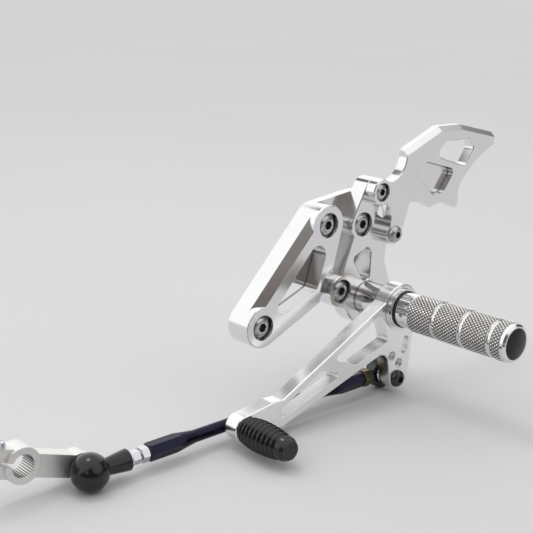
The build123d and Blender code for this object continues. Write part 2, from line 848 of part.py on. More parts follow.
# Countersunk screw from the lever's back into the core
with BuildPart() as toe_peg_screw:
    with BuildSketch(turning_plane(toe)):
        with BuildLine():
            Polyline(
                (lever_back, 0),
                (lever_back, toe_screw_head_dia / 2),
                (lever_back + (toe_screw_head_dia - m6_thread) / 2, m6_thread / 2),
                (lever_face + toe_screw_grip, m6_thread / 2),
                (lever_face + toe_screw_grip, 0),
                close=True,
            )
        make_face()
    revolve(axis=turning_axis(toe))
    with BuildSketch(inboard(toe, lever_back)):
        RegularPolygon(m6_socket / 2, 6, major_radius=False)
    extrude(amount=-m6_socket_depth, mode=Mode.SUBTRACT)

# Rod-end bolt, spacer, ball and nut on the lever's tail
ball_front = rod_level + rod_ball_width / 2
ball_back = rod_level - rod_ball_width / 2
pin_length = lever_face - ball_back + lock_nut_height + bolt_past_nut
pin_screw = button_screw(
    m6_thread, m6_head_dia, m6_head_height, m6_socket, m6_socket_depth, pin_length
)
with BuildPart() as rod_end_bolt:
    with Locations(outboard(rod_pin, lever_face)):
        add(pin_screw)

with BuildPart() as rod_end_spacer:
    with BuildSketch(inboard(rod_pin, lever_back)):
        Circle(rod_end_spacer_dia / 2)
        Circle(m6_thread / 2 + thread_gap, mode=Mode.SUBTRACT)
    extrude(amount=rod_end_spacer_thick)

with BuildPart() as rod_end_ball:
    with Locations((rod_pin[0], rod_level, rod_pin[1])):
        Sphere(rod_ball_dia / 2)
        Box(rod_ball_dia, rod_ball_width, rod_ball_dia, mode=Mode.INTERSECT)
    with Locations(outboard(rod_pin, ball_front)):
        Hole(m6_thread / 2 + thread_gap)

with BuildPart() as rod_end_nut:
    with Locations(inboard(rod_pin, ball_back)):
        add(hex_nut(m6_flats, lock_nut_height, m6_thread))

# Shift rod, drawn along the line between its two ball centres
front_ball = (front_ball_x, front_ball_z)
rod_span = hypot(front_ball[0] - rod_pin[0], front_ball[1] - rod_pin[1])
rod_run = (
    (front_ball[0] - rod_pin[0]) / rod_span,
    0,
    (front_ball[1] - rod_pin[1]) / rod_span,
)
rod_start = (rod_pin[0], rod_level, rod_pin[1])
rod_axis = Axis(rod_start, rod_run)
rod_profile_plane = Plane(origin=rod_start, x_dir=rod_run, z_dir=(0, -1, 0))


def across_rod(along):
    """Plane across the rod at a distance from the rear ball, facing forward, with Y to its right."""
    return Plane(origin=rod_start, x_dir=(0, 1, 0), z_dir=rod_run).offset(along)


rear_nut_start = rear_neck_length
rod_from = rear_nut_start + m6_nut_height
joint_flange_start = rod_span - boot_bell_from_ball - joint_flange_thick
joint_hex_start = joint_flange_start - joint_hex_length
front_nut_start = joint_hex_start - joint_nut_gap - m5_nut_height
rod_to = front_nut_start
rod_corner = rod_flats / 2 / cos(radians(30))
waist_from = rod_from + rod_hex_length
waist_to = rod_to - rod_hex_length
with BuildPart() as shift_rod:
    with BuildSketch(across_rod(rod_from)):
        RegularPolygon(rod_flats / 2, 6, major_radius=False)
    extrude(amount=rod_to - rod_from)
    with BuildSketch(rod_profile_plane):
        with BuildLine():
            Polyline(
                (rod_from, 0),
                (rod_from, rod_corner - rod_end_chamfer),
                (rod_from + rod_end_chamfer, rod_corner),
                (waist_from, rod_corner),
                (waist_from + rod_cone_length, rod_waist_dia / 2),
                (waist_to - rod_cone_length, rod_waist_dia / 2),
                (waist_to, rod_corner),
                (rod_to - rod_end_chamfer, rod_corner),
                (rod_to, rod_corner - rod_end_chamfer),
                (rod_to, 0),
                close=True,
            )
        make_face()
    revolve(axis=rod_axis, mode=Mode.INTERSECT)
    with BuildSketch(across_rod(rod_from)):
        Circle(m6_thread / 2 + thread_gap)
    extrude(amount=thread_engaged + thread_runout, mode=Mode.SUBTRACT)
    with BuildSketch(across_rod(rod_to)):
        Circle(m5_thread / 2 + thread_gap)
    extrude(amount=-thread_engaged - thread_runout, mode=Mode.SUBTRACT)

# Rear rod end, with the seat for its ball
with BuildPart() as rear_rod_end:
    with BuildSketch(inboard(rod_pin, rod_level + rod_end_width / 2)):
        Circle(rod_end_head_dia / 2)
    extrude(amount=rod_end_width)
    with BuildSketch(rod_profile_plane):
        with BuildLine():
            Polyline(
                (rod_ball_dia / 2, 0),
                (rod_ball_dia / 2, rod_end_width / 2),
                (rod_end_head_dia / 2, rod_end_width / 2),
                (rear_nut_start - thread_runout / 2, m6_thread / 2),
                (rod_from + thread_engaged, m6_thread / 2),
                (rod_from + thread_engaged, 0),
                close=True,
            )
        make_face()
    revolve(axis=rod_axis)
    with Locations(rod_start):
        Sphere(rod_ball_dia / 2 + running_gap, mode=Mode.SUBTRACT)

with BuildPart() as rear_lock_nut:
    with Locations(across_rod(rear_nut_start)):
        add(hex_nut(m6_flats, m6_nut_height, m6_thread))

with BuildPart() as front_lock_nut:
    with Locations(across_rod(front_nut_start)):
        add(hex_nut(m5_flats, m5_nut_height, m5_thread))

# Socket of the front ball joint: cup, neck, flange, spanner hexagon and threaded shank
ball_place = (front_ball_x, rod_level, front_ball_z)
with BuildPart() as front_joint_socket:
    with BuildSketch(inboard(front_ball, rod_level + joint_socket_cap)):
        Circle(joint_socket_dia / 2)
    extrude(amount=joint_socket_cap + joint_socket_mouth)
    with BuildSketch(across_rod(joint_flange_start)):
        Circle(joint_neck_dia / 2)
    extrude(amount=rod_span - joint_neck_root - joint_flange_start)
    with BuildSketch(across_rod(joint_flange_start)):
        Circle(joint_flange_dia / 2)
    extrude(amount=joint_flange_thick)
    with BuildSketch(across_rod(joint_hex_start)):
        RegularPolygon(joint_hex_flats / 2, 6, major_radius=False)
    extrude(amount=joint_hex_length)
    with BuildSketch(across_rod(rod_to - thread_engaged)):
        Circle(m5_thread / 2)
    extrude(amount=thread_engaged + joint_hex_start - rod_to)
    with Locations(ball_place):
        Sphere(joint_ball_dia / 2 + running_gap, mode=Mode.SUBTRACT)

# Rubber boot over the joint: a dome on the cup and a bell over its neck
with BuildPart() as front_joint_boot:
    with Locations(ball_place):
        Sphere(boot_dia / 2)
    with BuildSketch(rod_profile_plane):
        with BuildLine():
            Polyline(
                (rod_span, 0),
                (rod_span, boot_waist_dia / 2),
                (rod_span - boot_waist_from_ball, boot_waist_dia / 2),
                (rod_span - boot_bell_from_ball, boot_bell_dia / 2),
                (rod_span - boot_bell_from_ball, 0),
                close=True,
            )
        make_face()
    revolve(axis=rod_axis)
    with BuildSketch(inboard(front_ball, rod_level - boot_rim)):
        Circle(boot_dia)
    extrude(amount=boot_dia, mode=Mode.SUBTRACT)
    with BuildSketch(inboard(front_ball, rod_level + joint_socket_cap + soft_gap)):
        Circle(joint_socket_dia / 2 + soft_gap)
    extrude(amount=joint_socket_cap + joint_socket_mouth + 2 * soft_gap, mode=Mode.SUBTRACT)
    with BuildSketch(inboard(front_ball, rod_level)):
        Circle(stud_neck_dia / 2 + boot_mouth_gap)
    extrude(amount=boot_dia, mode=Mode.SUBTRACT)
    with BuildSketch(across_rod(joint_flange_start)):
        Circle(joint_neck_dia / 2 + press_gap)
    extrude(amount=rod_span - joint_neck_root - joint_flange_start, mode=Mode.SUBTRACT)

# Gearbox arm, drawn in its own frame from the ball stud to the split hub
arm_reach = hypot(arm_hub_dx, arm_hub_dz)
arm_run = (arm_hub_dx / arm_reach, arm_hub_dz / arm_reach)
pinch_along = arm_reach + pinch_bolt_share * arm_ear_length


def arm_plane(y):
    """The arm's drawing plane at y, with its normal pointing inboard."""
    return Plane(
        origin=(front_ball_x, y, front_ball_z), x_dir=(arm_run[0], 0, arm_run[1]), z_dir=(0, -1, 0)
    )


def above_arm(along, up):
    """Plane across the arm at a distance along it and above its middle, facing up."""
    return Plane(
        origin=(
            front_ball_x + along * arm_run[0] - up * arm_run[1],
            arm_face - arm_thick / 2,
            front_ball_z + along * arm_run[1] + up * arm_run[0],
        ),
        x_dir=(0, 1, 0),
        z_dir=(-arm_run[1], 0, arm_run[0]),
    )


with BuildPart() as shift_arm:
    with BuildSketch(arm_plane(arm_face)):
        Circle(arm_boss_radius)
        with Locations((arm_reach / 2, 0)):
            Rectangle(arm_reach, 2 * arm_waist_radius)
        with Locations((arm_reach + arm_ear_length / 2, 0)):
            Rectangle(arm_ear_length, arm_ear_height)
    extrude(amount=arm_thick)
    with BuildSketch(arm_plane(arm_face + arm_hub_raise)):
        with Locations((arm_reach, 0)):
            Circle(arm_hub_radius)
    extrude(amount=arm_thick + 2 * arm_hub_raise)
    with BuildSketch(arm_plane(arm_face + arm_hub_raise)):
        with Locations((arm_reach, 0)):
            Circle(arm_bore_dia / 2)
        with Locations((arm_reach + arm_ear_length / 2, 0)):
            Rectangle(arm_ear_length, arm_slit)
    extrude(amount=arm_thick + 2 * arm_hub_raise, mode=Mode.SUBTRACT)
    with Locations(outboard(front_ball, arm_face)):
        Hole(m6_thread / 2 + thread_gap)
    with Locations(above_arm(pinch_along, arm_ear_height / 2)):
        Hole(m6_thread / 2 + thread_gap)

# Ball stud through the arm's end, and its nut
with BuildPart() as ball_stud:
    with Locations(ball_place):
        Sphere(joint_ball_dia / 2)
    with BuildSketch(inboard(front_ball, rod_level)):
        Circle(stud_neck_dia / 2)
    extrude(amount=arm_from_ball)
    with BuildSketch(inboard(front_ball, arm_face)):
        Circle(m6_thread / 2)
    extrude(amount=arm_thick + m6_nut_height + bolt_past_nut)

with BuildPart() as ball_stud_nut:
    with Locations(inboard(front_ball, arm_back)):
        add(hex_nut(m6_flats, m6_nut_height, m6_thread))

# Pinch bolt across the hub's ears
pinch_screw = button_screw(
    m6_thread, m6_head_dia, m6_head_height, m6_socket, m6_socket_depth, arm_ear_height
)
with BuildPart() as pinch_bolt:
    with Locations(above_arm(pinch_along, arm_ear_height / 2)):
        add(pinch_screw)

pieces = {
    "base_plate": base_plate,
    "frame_bolts": frame_bolts,
    "peg_hanger": peg_hanger,
    "hanger_bolts": hanger_bolts,
    "heel_guard": heel_guard,
    "heel_guard_bolts": heel_guard_bolts,
    "pivot_sleeve": pivot_sleeve,
    "thrust_washer": thrust_washer,
    "pivot_collar": pivot_collar,
    "footpeg": footpeg,
    "peg_o_ring": peg_o_ring,
    "footpeg_end_plug": footpeg_end_plug,
    "footpeg_bolt": footpeg_bolt,
    "shift_lever": shift_lever,
    "lever_bush": lever_bush,
    "toe_peg_core": toe_peg_core,
    "toe_peg_rubber": toe_peg_rubber,
    "toe_peg_screw": toe_peg_screw,
    "rod_end_bolt": rod_end_bolt,
    "rod_end_spacer": rod_end_spacer,
    "rod_end_ball": rod_end_ball,
    "rod_end_nut": rod_end_nut,
    "shift_rod": shift_rod,
    "rear_rod_end": rear_rod_end,
    "rear_lock_nut": rear_lock_nut,
    "front_lock_nut": front_lock_nut,
    "front_joint_socket": front_joint_socket,
    "front_joint_boot": front_joint_boot,
    "shift_arm": shift_arm,
    "ball_stud": ball_stud,
    "ball_stud_nut": ball_stud_nut,
    "pinch_bolt": pinch_bolt,
}
os.makedirs("parts", exist_ok=True)
for label, piece in pieces.items():
    piece.part.label = label
    export_step(piece.part, f"parts/{label}.step")
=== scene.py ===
"""Looks of a motorbike's gear-shift rear set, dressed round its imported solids, in metres."""

import json
import logging
import math
from dataclasses import dataclass
from enum import Enum
from typing import Callable

import bmesh
import bpy
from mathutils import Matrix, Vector


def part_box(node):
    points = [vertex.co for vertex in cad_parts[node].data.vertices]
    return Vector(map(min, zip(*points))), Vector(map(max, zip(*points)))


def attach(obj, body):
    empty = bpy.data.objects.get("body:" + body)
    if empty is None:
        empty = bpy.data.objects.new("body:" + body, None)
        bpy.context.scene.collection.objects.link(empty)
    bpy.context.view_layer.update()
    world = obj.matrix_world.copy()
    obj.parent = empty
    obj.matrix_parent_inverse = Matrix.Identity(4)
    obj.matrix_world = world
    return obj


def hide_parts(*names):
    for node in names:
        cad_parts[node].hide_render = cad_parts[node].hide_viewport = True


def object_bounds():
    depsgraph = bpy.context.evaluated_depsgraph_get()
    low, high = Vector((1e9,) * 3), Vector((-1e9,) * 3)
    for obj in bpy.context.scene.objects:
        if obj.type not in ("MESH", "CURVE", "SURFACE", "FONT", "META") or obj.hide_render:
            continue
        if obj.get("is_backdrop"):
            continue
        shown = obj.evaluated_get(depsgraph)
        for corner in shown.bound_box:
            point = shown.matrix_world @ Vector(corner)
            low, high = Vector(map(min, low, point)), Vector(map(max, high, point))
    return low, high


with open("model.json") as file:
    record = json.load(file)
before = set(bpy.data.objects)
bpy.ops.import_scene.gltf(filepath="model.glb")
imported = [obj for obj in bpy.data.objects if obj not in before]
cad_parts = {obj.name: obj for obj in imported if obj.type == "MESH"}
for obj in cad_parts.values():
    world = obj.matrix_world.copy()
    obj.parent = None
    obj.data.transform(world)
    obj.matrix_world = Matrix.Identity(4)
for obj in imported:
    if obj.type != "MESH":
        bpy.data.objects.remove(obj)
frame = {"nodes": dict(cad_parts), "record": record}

log = logging.getLogger("rear_set")
Colour = tuple[float, float, float]
Place = tuple[float, float, float]
MM = 0.001
FULL_TURN = 2.0 * math.pi


class Slot(Enum):
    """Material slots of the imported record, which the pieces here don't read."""

    MACHINED = "machined_aluminium"
    KNURLED = "knurled_aluminium"
    CAST = "cast_aluminium"
    SCREW = "stainless_screws"
    RUBBER = "black_rubber"


class Body(Enum):
    """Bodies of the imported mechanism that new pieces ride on."""

    FRAME_SIDE = "frame_side"
    LEVER = "lever"
    ARM = "arm"


class Look(Enum):
    """Finishes that the pieces are dressed in."""

    BRUSHED = "brushed_aluminium"
    MILLED = "milled_aluminium"
    TURNED = "turned_aluminium"
    KNURLED = "knurled_aluminium"
    CAST = "cast_aluminium"
    ANODISED = "dark_anodised"
    STAINLESS = "stainless_screws"
    BLACKENED = "blackened_steel"
    BEARING = "bearing_steel"
    ZINC = "zinc_steel"
    YELLOW_ZINC = "yellow_zinc"
    BRONZE = "bronze"
    RUBBER = "black_rubber"
    PLASTIC = "black_plastic"


class Field:
    """A socket's value that can be written in Python arithmetic."""

    def __init__(self, shop: "NodeShop", socket: bpy.types.NodeSocket) -> None:
        """Keep the tree's shop and the socket."""
        self.shop = shop
        self.socket = socket

    def _math(self, operation: str, *operands: object) -> "Field":
        """Add one Math node.

        Args:
            operation: The Math node's operation.
            operands: Its inputs in order, fields or numbers.

        Returns:
            The node's result.
        """
        made = self.shop.node("ShaderNodeMath", {"operation": operation}, dict(enumerate(operands)))
        return Field(self.shop, made.outputs[0])

    def __add__(self, other: object) -> "Field":
        """Sum."""
        return self._math("ADD", self, other)

    def __radd__(self, other: object) -> "Field":
        """Sum with a number on the left."""
        return self._math("ADD", other, self)

    def __sub__(self, other: object) -> "Field":
        """Difference."""
        return self._math("SUBTRACT", self, other)

    def __rsub__(self, other: object) -> "Field":
        """Difference from a number on the left."""
        return self._math("SUBTRACT", other, self)

    def __mul__(self, other: object) -> "Field":
        """Product."""
        return self._math("MULTIPLY", self, other)

    def __rmul__(self, other: object) -> "Field":
        """Product with a number on the left."""
        return self._math("MULTIPLY", other, self)

    def __truediv__(self, other: object) -> "Field":
        """Quotient."""
        return self._math("DIVIDE", self, other)

    def __rtruediv__(self, other: object) -> "Field":
        """Quotient of a number on the left."""
        return self._math("DIVIDE", other, self)

    def clamped(self) -> "Field":
        """The value held between 0 and 1."""
        return self._math("MAXIMUM", self._math("MINIMUM", self, 1.0), 0.0)

    def least(self, other: object) -> "Field":
        """The smaller of two values."""
        return self._math("MINIMUM", self, other)

    def most(self, other: object) -> "Field":
        """The larger of two values."""
        return self._math("MAXIMUM", self, other)

    def fraction(self) -> "Field":
        """The part after the point."""
        return self._math("FRACT", self)

    def size(self) -> "Field":
        """The value without its sign."""
        return self._math("ABSOLUTE", self)

    def over(self, limit: object) -> "Field":
        """1 where the value is over a limit, else 0."""
        return self._math("GREATER_THAN", self, limit)

    def sine(self) -> "Field":
        """Sine of an angle in radians."""
        return self._math("SINE", self)

    def cosine(self) -> "Field":
        """Cosine of an angle in radians."""
        return self._math("COSINE", self)

    def triangle(self) -> "Field":
        """A wave with straight flanks, 1 at whole numbers and 0 halfway."""
        return (self.fraction() * 2.0 - 1.0).size()

    def eased(self) -> "Field":
        """A smooth step from 0 to 1."""
        held = self.clamped()
        return held * held * (3.0 - 2.0 * held)


class NodeShop:
    """Adds nodes to one tree."""

    probes: int = 4
    edge_gain: float = 6.0

    def __init__(self, tree: bpy.types.NodeTree) -> None:
        """Keep the tree."""
        self.tree = tree

    def node(
        self,
        kind: str,
        settings: dict[str, object] | None = None,
        sockets: dict[str | int, object] | None = None,
    ) -> bpy.types.Node:
        """Add one node.

        Args:
            kind: The node's type.
            settings: Its properties, with a ramp's stops under "stops".
            sockets: Values, fields or sockets for its inputs, by name or place.

        Returns:
            The node.
        """
        made = self.tree.nodes.new(kind)
        for key, value in (settings or {}).items():
            if key == "stops":
                self._set_stops(made.color_ramp, value)
            else:
                setattr(made, key, value)
        for key, value in (sockets or {}).items():
            self._plug(made.inputs[key], value)
        return made

    def _plug(self, socket: bpy.types.NodeSocket, value: object) -> None:
        """Link a field or socket to an input, or set its value.

        Args:
            socket: The input.
            value: A field, a socket, a number, a colour or a vector.
        """
        if isinstance(value, Field):
            self.tree.links.new(value.socket, socket)
        elif isinstance(value, bpy.types.NodeSocket):
            self.tree.links.new(value, socket)
        elif socket.type == "RGBA":
            socket.default_value = (*value, 1.0)
        else:
            socket.default_value = value

    @staticmethod
    def _set_stops(ramp: bpy.types.ColorRamp, stops: list[tuple[float, Colour]]) -> None:
        """Give a ramp its stops.

        Args:
            ramp: The ramp.
            stops: Places from 0 to 1 and their colours, in order.
        """
        while len(ramp.elements) < len(stops):
            ramp.elements.new(1.0)
        for element, (place, colour) in zip(ramp.elements, stops):
            element.position = place
            element.color = (*colour, 1.0)

    def field(self, made: bpy.types.Node, output: str | int = 0) -> Field:
        """One of a node's outputs as a field."""
        return Field(self, made.outputs[output])

    def place(self) -> bpy.types.NodeSocket:
        """Object coordinates, in metres."""
        return self.node("ShaderNodeTexCoord").outputs["Object"]

    def noise(self, vector: object, scale: float, detail: float = 2.0, roughness: float = 0.5) -> Field:
        """Noise from 0 to 1.

        Args:
            vector: Where it is read.
            scale: Its grains in each metre.
            detail: How many finer layers it has.
            roughness: How strong the finer layers are.

        Returns:
            The noise.
        """
        made = self.node(
            "ShaderNodeTexNoise",
            {"noise_dimensions": "3D"},
            {"Vector": vector, "Scale": scale, "Detail": detail, "Roughness": roughness},
        )
        return self.field(made)

    def mixed(self, share: object, first: object, second: object) -> Field:
        """Colour between two colours.

        Args:
            share: 0 for the first colour, 1 for the second.
            first: A colour.
            second: A colour.

        Returns:
            The colour between.
        """
        made = self.node("ShaderNodeMix", {"data_type": "RGBA"}, {0: share, 6: first, 7: second})
        return self.field(made, 2)

    def edges(self, radius: float) -> tuple[Field, bpy.types.NodeSocket]:
        """Find where the surface turns sharply.

        Args:
            radius: How far from an edge to look.

        Returns:
            The nearness to an edge from 0 to 1, and the normal rounded over there.
        """
        bevel = self.node("ShaderNodeBevel", {"samples": self.probes}, {"Radius": radius}).outputs[0]
        normal = self.node("ShaderNodeNewGeometry").outputs["Normal"]
        turned = self.node("ShaderNodeVectorMath", {"operation": "DOT_PRODUCT"}, {0: bevel, 1: normal})
        return ((1.0 - self.field(turned, "Value")) * self.edge_gain).clamped(), bevel

    def surface(self, sockets: dict[str, object]) -> None:
        """End a material in a principled shader with these sockets."""
        shader = self.node("ShaderNodeBsdfPrincipled", None, sockets)
        self.node("ShaderNodeOutputMaterial", None, {"Surface": shader.outputs[0]})


def begin_material(name: str) -> tuple[bpy.types.Material, NodeShop]:
    """Start an empty material.

    Args:
        name: The material's name.

    Returns:
        The material and the shop of its tree.
    """
    made = bpy.data.materials.new(name)
    made.use_nodes = True
    made.node_tree.nodes.clear()
    return made, NodeShop(made.node_tree)


def shaded(tone: Colour, share: float) -> Colour:
    """A tone times a share."""
    return (tone[0] * share, tone[1] * share, tone[2] * share)


@dataclass(frozen=True)
class Metal:
    """A bare or plated metal with tool marks, clouding, a painted highlight on its edges and painted shade in
    its hollows.

    The marks are counted in each metre along X, Y and Z. Their depth, the edges' radius and the painted
    shade's reach are in metres, and a reach of 0 leaves the hollows without painted shade.
    """

    tone: Colour
    roughness: float
    marks: tuple[float, float, float]
    mark_depth: float = 0.02 * MM
    mark_share: float = 0.10
    mark_strength: float = 0.6
    cloud_scale: float = 55.0
    cloud_share: float = 0.10
    cloud_tone: float = 0.92
    edge_radius: float = 0.3 * MM
    # painted highlight: the colour that the edges are lightened to
    edge_highlight_tone: Colour = (0.95, 0.95, 0.96)
    edge_share: float = 0.6
    edge_polish: float = 0.06
    # painted shade in hollows found by ambient occlusion: reach, colour, threshold and gain
    hollow_shade_reach: float = 0.0
    hollow_shade_tone: Colour = (0.02, 0.02, 0.02)
    hollow_shade_limit: float = 0.45
    hollow_shade_gain: float = 2.2

    def unshaded_share(self, shop: NodeShop) -> Field:
        """How open the surface lies, for the painted shade in its hollows.

        Args:
            shop: The material's shop.

        Returns:
            0 deep in a hollow, 1 in the open.
        """
        hollow = shop.node(
            "ShaderNodeAmbientOcclusion",
            {"samples": shop.probes, "only_local": True},
            {"Distance": self.hollow_shade_reach},
        )
        return ((shop.field(hollow, "AO") - self.hollow_shade_limit) * self.hollow_shade_gain).clamped()

    def material(self, look: Look) -> bpy.types.Material:
        """Build the material.

        Args:
            look: The finish that it is for.

        Returns:
            The material.
        """
        made, shop = begin_material(look.value)
        place = shop.place()
        drawn = shop.node("ShaderNodeVectorMath", {"operation": "MULTIPLY"}, {0: place, 1: self.marks})
        marks = shop.noise(drawn.outputs[0], 1.0, detail=3.0, roughness=0.6)
        clouds = shop.noise(place, self.cloud_scale, detail=3.0, roughness=0.55)
        # edge band that carries the painted highlight and a smoother polish
        edge, bevel = shop.edges(self.edge_radius)
        edge = edge * self.edge_share
        body = shop.mixed(clouds, shaded(self.tone, self.cloud_tone), self.tone)
        # painted shade: hollows are darkened towards the shade colour
        if self.hollow_shade_reach:
            body = shop.mixed(self.unshaded_share(shop), self.hollow_shade_tone, body)
        rough = self.roughness + (marks - 0.5) * self.mark_share + (clouds - 0.5) * self.cloud_share
        bump = shop.node(
            "ShaderNodeBump",
            None,
            {"Strength": self.mark_strength, "Distance": self.mark_depth, "Height": marks, "Normal": bevel},
        )
        shop.surface(
            {
                # the edges are mixed towards the painted highlight colour
                "Base Color": shop.mixed(edge, body, self.edge_highlight_tone),
                "Metallic": 1.0,
                "Roughness": (rough - edge * self.edge_polish).clamped(),
                "Normal": bump.outputs[0],
            }
        )
        return made


@dataclass(frozen=True)
class Knurling:
    """Rolled knurling: bright crests, and valleys darkened by painted shade, with a little random dirt."""

    crest: Colour
    valley: Colour
    roughness: float
    dirt_scale: float = 220.0
    valley_shade_level: float = 0.14
    valley_shade_gain: float = 2.0
    dirt_spread: float = 0.4
    dirt_roughness: float = 0.2
    grain_scale: float = 5200.0
    grain_depth: float = 0.02 * MM
    grain_strength: float = 0.3
    grain_share: float = 0.1

    def material(self, look: Look) -> bpy.types.Material:
        """Build the material.

        Args:
            look: The finish that it is for.

        Returns:
            The material.
        """
        made, shop = begin_material(look.value)
        place = shop.place()
        relief = shop.field(shop.node("ShaderNodeAttribute", {"attribute_name": "relief"}), "Fac")
        dirt = shop.noise(place, self.dirt_scale, detail=3.0, roughness=0.6)
        grain = shop.noise(place, self.grain_scale)
        # painted shade: the lower a point sits in the knurl, the darker it is; random dirt noise on top
        bright = ((relief - self.valley_shade_level) * self.valley_shade_gain + (dirt - 0.5) * self.dirt_spread).clamped()
        rough = self.roughness + (1.0 - bright) * self.dirt_roughness + (grain - 0.5) * self.grain_share
        bump = shop.node(
            "ShaderNodeBump",
            None,
            {"Strength": self.grain_strength, "Distance": self.grain_depth, "Height": grain},
        )
        shop.surface(
            {
                # the valley colour is the dark end of the painted shade
                "Base Color": shop.mixed(bright, self.valley, self.crest),
                "Metallic": 1.0,
                "Roughness": rough.clamped(),
                "Normal": bump.outputs[0],
            }
        )
        return made


@dataclass(frozen=True)
class Moulding:
    """A moulded rubber or plastic with a fine grain, a little dust and a painted highlight on its edges."""

    tone: Colour
    dusty: Colour
    roughness: float
    grain_scale: float
    grain_depth: float
    shine: float = 0.5
    # painted highlight colour for the edges, such as the toe rubber's rim
    edge_highlight_tone: Colour = (0.02, 0.02, 0.02)
    edge_radius: float = 0.4 * MM
    grain_strength: float = 0.5
    grain_share: float = 0.12
    dust_scale: float = 160.0
    dust_level: float = 0.45
    dust_gain: float = 2.5
    dust_share: float = 0.6
    dust_roughness: float = 0.12

    def material(self, look: Look) -> bpy.types.Material:
        """Build the material.

        Args:
            look: The finish that it is for.

        Returns:
            The material.
        """
        made, shop = begin_material(look.value)
        place = shop.place()
        grain = shop.noise(place, self.grain_scale)
        dust = shop.noise(place, self.dust_scale, detail=4.0, roughness=0.62)
        laid = ((dust - self.dust_level) * self.dust_gain).clamped() * self.dust_share
        rough = self.roughness + laid * self.dust_roughness + (grain - 0.5) * self.grain_share
        edge, bevel = shop.edges(self.edge_radius)
        bump = shop.node(
            "ShaderNodeBump",
            None,
            {"Strength": self.grain_strength, "Distance": self.grain_depth, "Height": grain, "Normal": bevel},
        )
        shop.surface(
            {
                # the edges take the painted highlight colour
                "Base Color": shop.mixed(edge, shop.mixed(laid, self.tone, self.dusty), self.edge_highlight_tone),
                "Roughness": rough.clamped(),
                "Specular IOR Level": self.shine,
                "Normal": bump.outputs[0],
            }
        )
        return made


# The hollow values below set painted shade in hollows, the edge tones set painted edge highlights, and the
# knurl's valley colour is painted shade.
FINISHES: dict[Look, Metal | Knurling | Moulding] = {
    Look.MILLED: Metal(
        (0.84, 0.84, 0.845),
        0.16,
        (900.0, 5200.0, 5200.0),
        mark_depth=0.003 * MM,
        cloud_share=0.04,
        hollow_shade_reach=1.2 * MM,
        hollow_shade_tone=(0.12, 0.10, 0.095),
    ),
    Look.BRUSHED: Metal(
        (0.92, 0.92, 0.915),
        0.24,
        (700.0, 5200.0, 2600.0),
        mark_depth=0.002 * MM,
        mark_share=0.05,
        cloud_share=0.02,
        hollow_shade_reach=4.0 * MM,
        hollow_shade_tone=(0.05, 0.045, 0.04),
    ),
    Look.TURNED: Metal((0.83, 0.83, 0.835), 0.13, (60.0, 3600.0, 60.0), mark_depth=0.008 * MM),
    Look.KNURLED: Knurling((0.89, 0.87, 0.85), (0.06, 0.055, 0.05), 0.22),
    Look.CAST: Metal(
        (0.82, 0.81, 0.79),
        0.48,
        (2400.0, 2400.0, 2400.0),
        mark_depth=0.10 * MM,
        edge_share=0.35,
        edge_radius=0.6 * MM,
    ),
    Look.ANODISED: Metal(
        (0.022, 0.022, 0.040),
        0.26,
        (160.0, 2600.0, 2600.0),
        edge_highlight_tone=(0.30, 0.30, 0.36),
        edge_share=0.5,
    ),
    Look.STAINLESS: Metal(
        (0.50, 0.50, 0.50),
        0.24,
        (900.0, 900.0, 900.0),
        mark_depth=0.006 * MM,
        edge_radius=0.2 * MM,
        hollow_shade_reach=3.0 * MM,
    ),
    Look.BLACKENED: Metal(
        (0.075, 0.075, 0.08),
        0.22,
        (1500.0, 1500.0, 1500.0),
        edge_highlight_tone=(0.42, 0.42, 0.43),
        edge_share=0.5,
    ),
    Look.BEARING: Metal((0.72, 0.72, 0.74), 0.13, (80.0, 3000.0, 80.0)),
    Look.ZINC: Metal(
        (0.70, 0.71, 0.74),
        0.27,
        (1100.0, 1100.0, 1100.0),
        cloud_scale=220.0,
        cloud_share=0.16,
    ),
    Look.YELLOW_ZINC: Metal(
        (0.14, 0.12, 0.065),
        0.28,
        (1100.0, 1100.0, 1100.0),
        cloud_scale=240.0,
        cloud_tone=0.72,
        edge_highlight_tone=(0.62, 0.52, 0.30),
    ),
    Look.BRONZE: Metal((0.50, 0.39, 0.26), 0.32, (90.0, 2600.0, 90.0), edge_highlight_tone=(0.80, 0.68, 0.50)),
    Look.RUBBER: Moulding(
        (0.006, 0.006, 0.007),
        (0.014, 0.014, 0.015),
        0.17,
        grain_scale=2600.0,
        grain_depth=0.02 * MM,
        edge_highlight_tone=(0.16, 0.16, 0.16),
    ),
    Look.PLASTIC: Moulding(
        (0.004, 0.004, 0.006),
        (0.008, 0.008, 0.010),
        0.14,
        grain_scale=3200.0,
        grain_depth=0.008 * MM,
        shine=0.35,
    ),
}
Palette = dict[Look, bpy.types.Material]


def dress(palette: Palette, looks: dict[str, Look]) -> None:
    """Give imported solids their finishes.

    Args:
        palette: The finishes' materials.
        looks: The finish of each node.
    """
    for name, look in looks.items():
        for slot in frame["nodes"][name].material_slots:
            slot.material = palette[look]


def middle(node: str) -> Vector:
    """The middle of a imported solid's box."""
    low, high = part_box(node)
    return (Vector(low) + Vector(high)) / 2.0


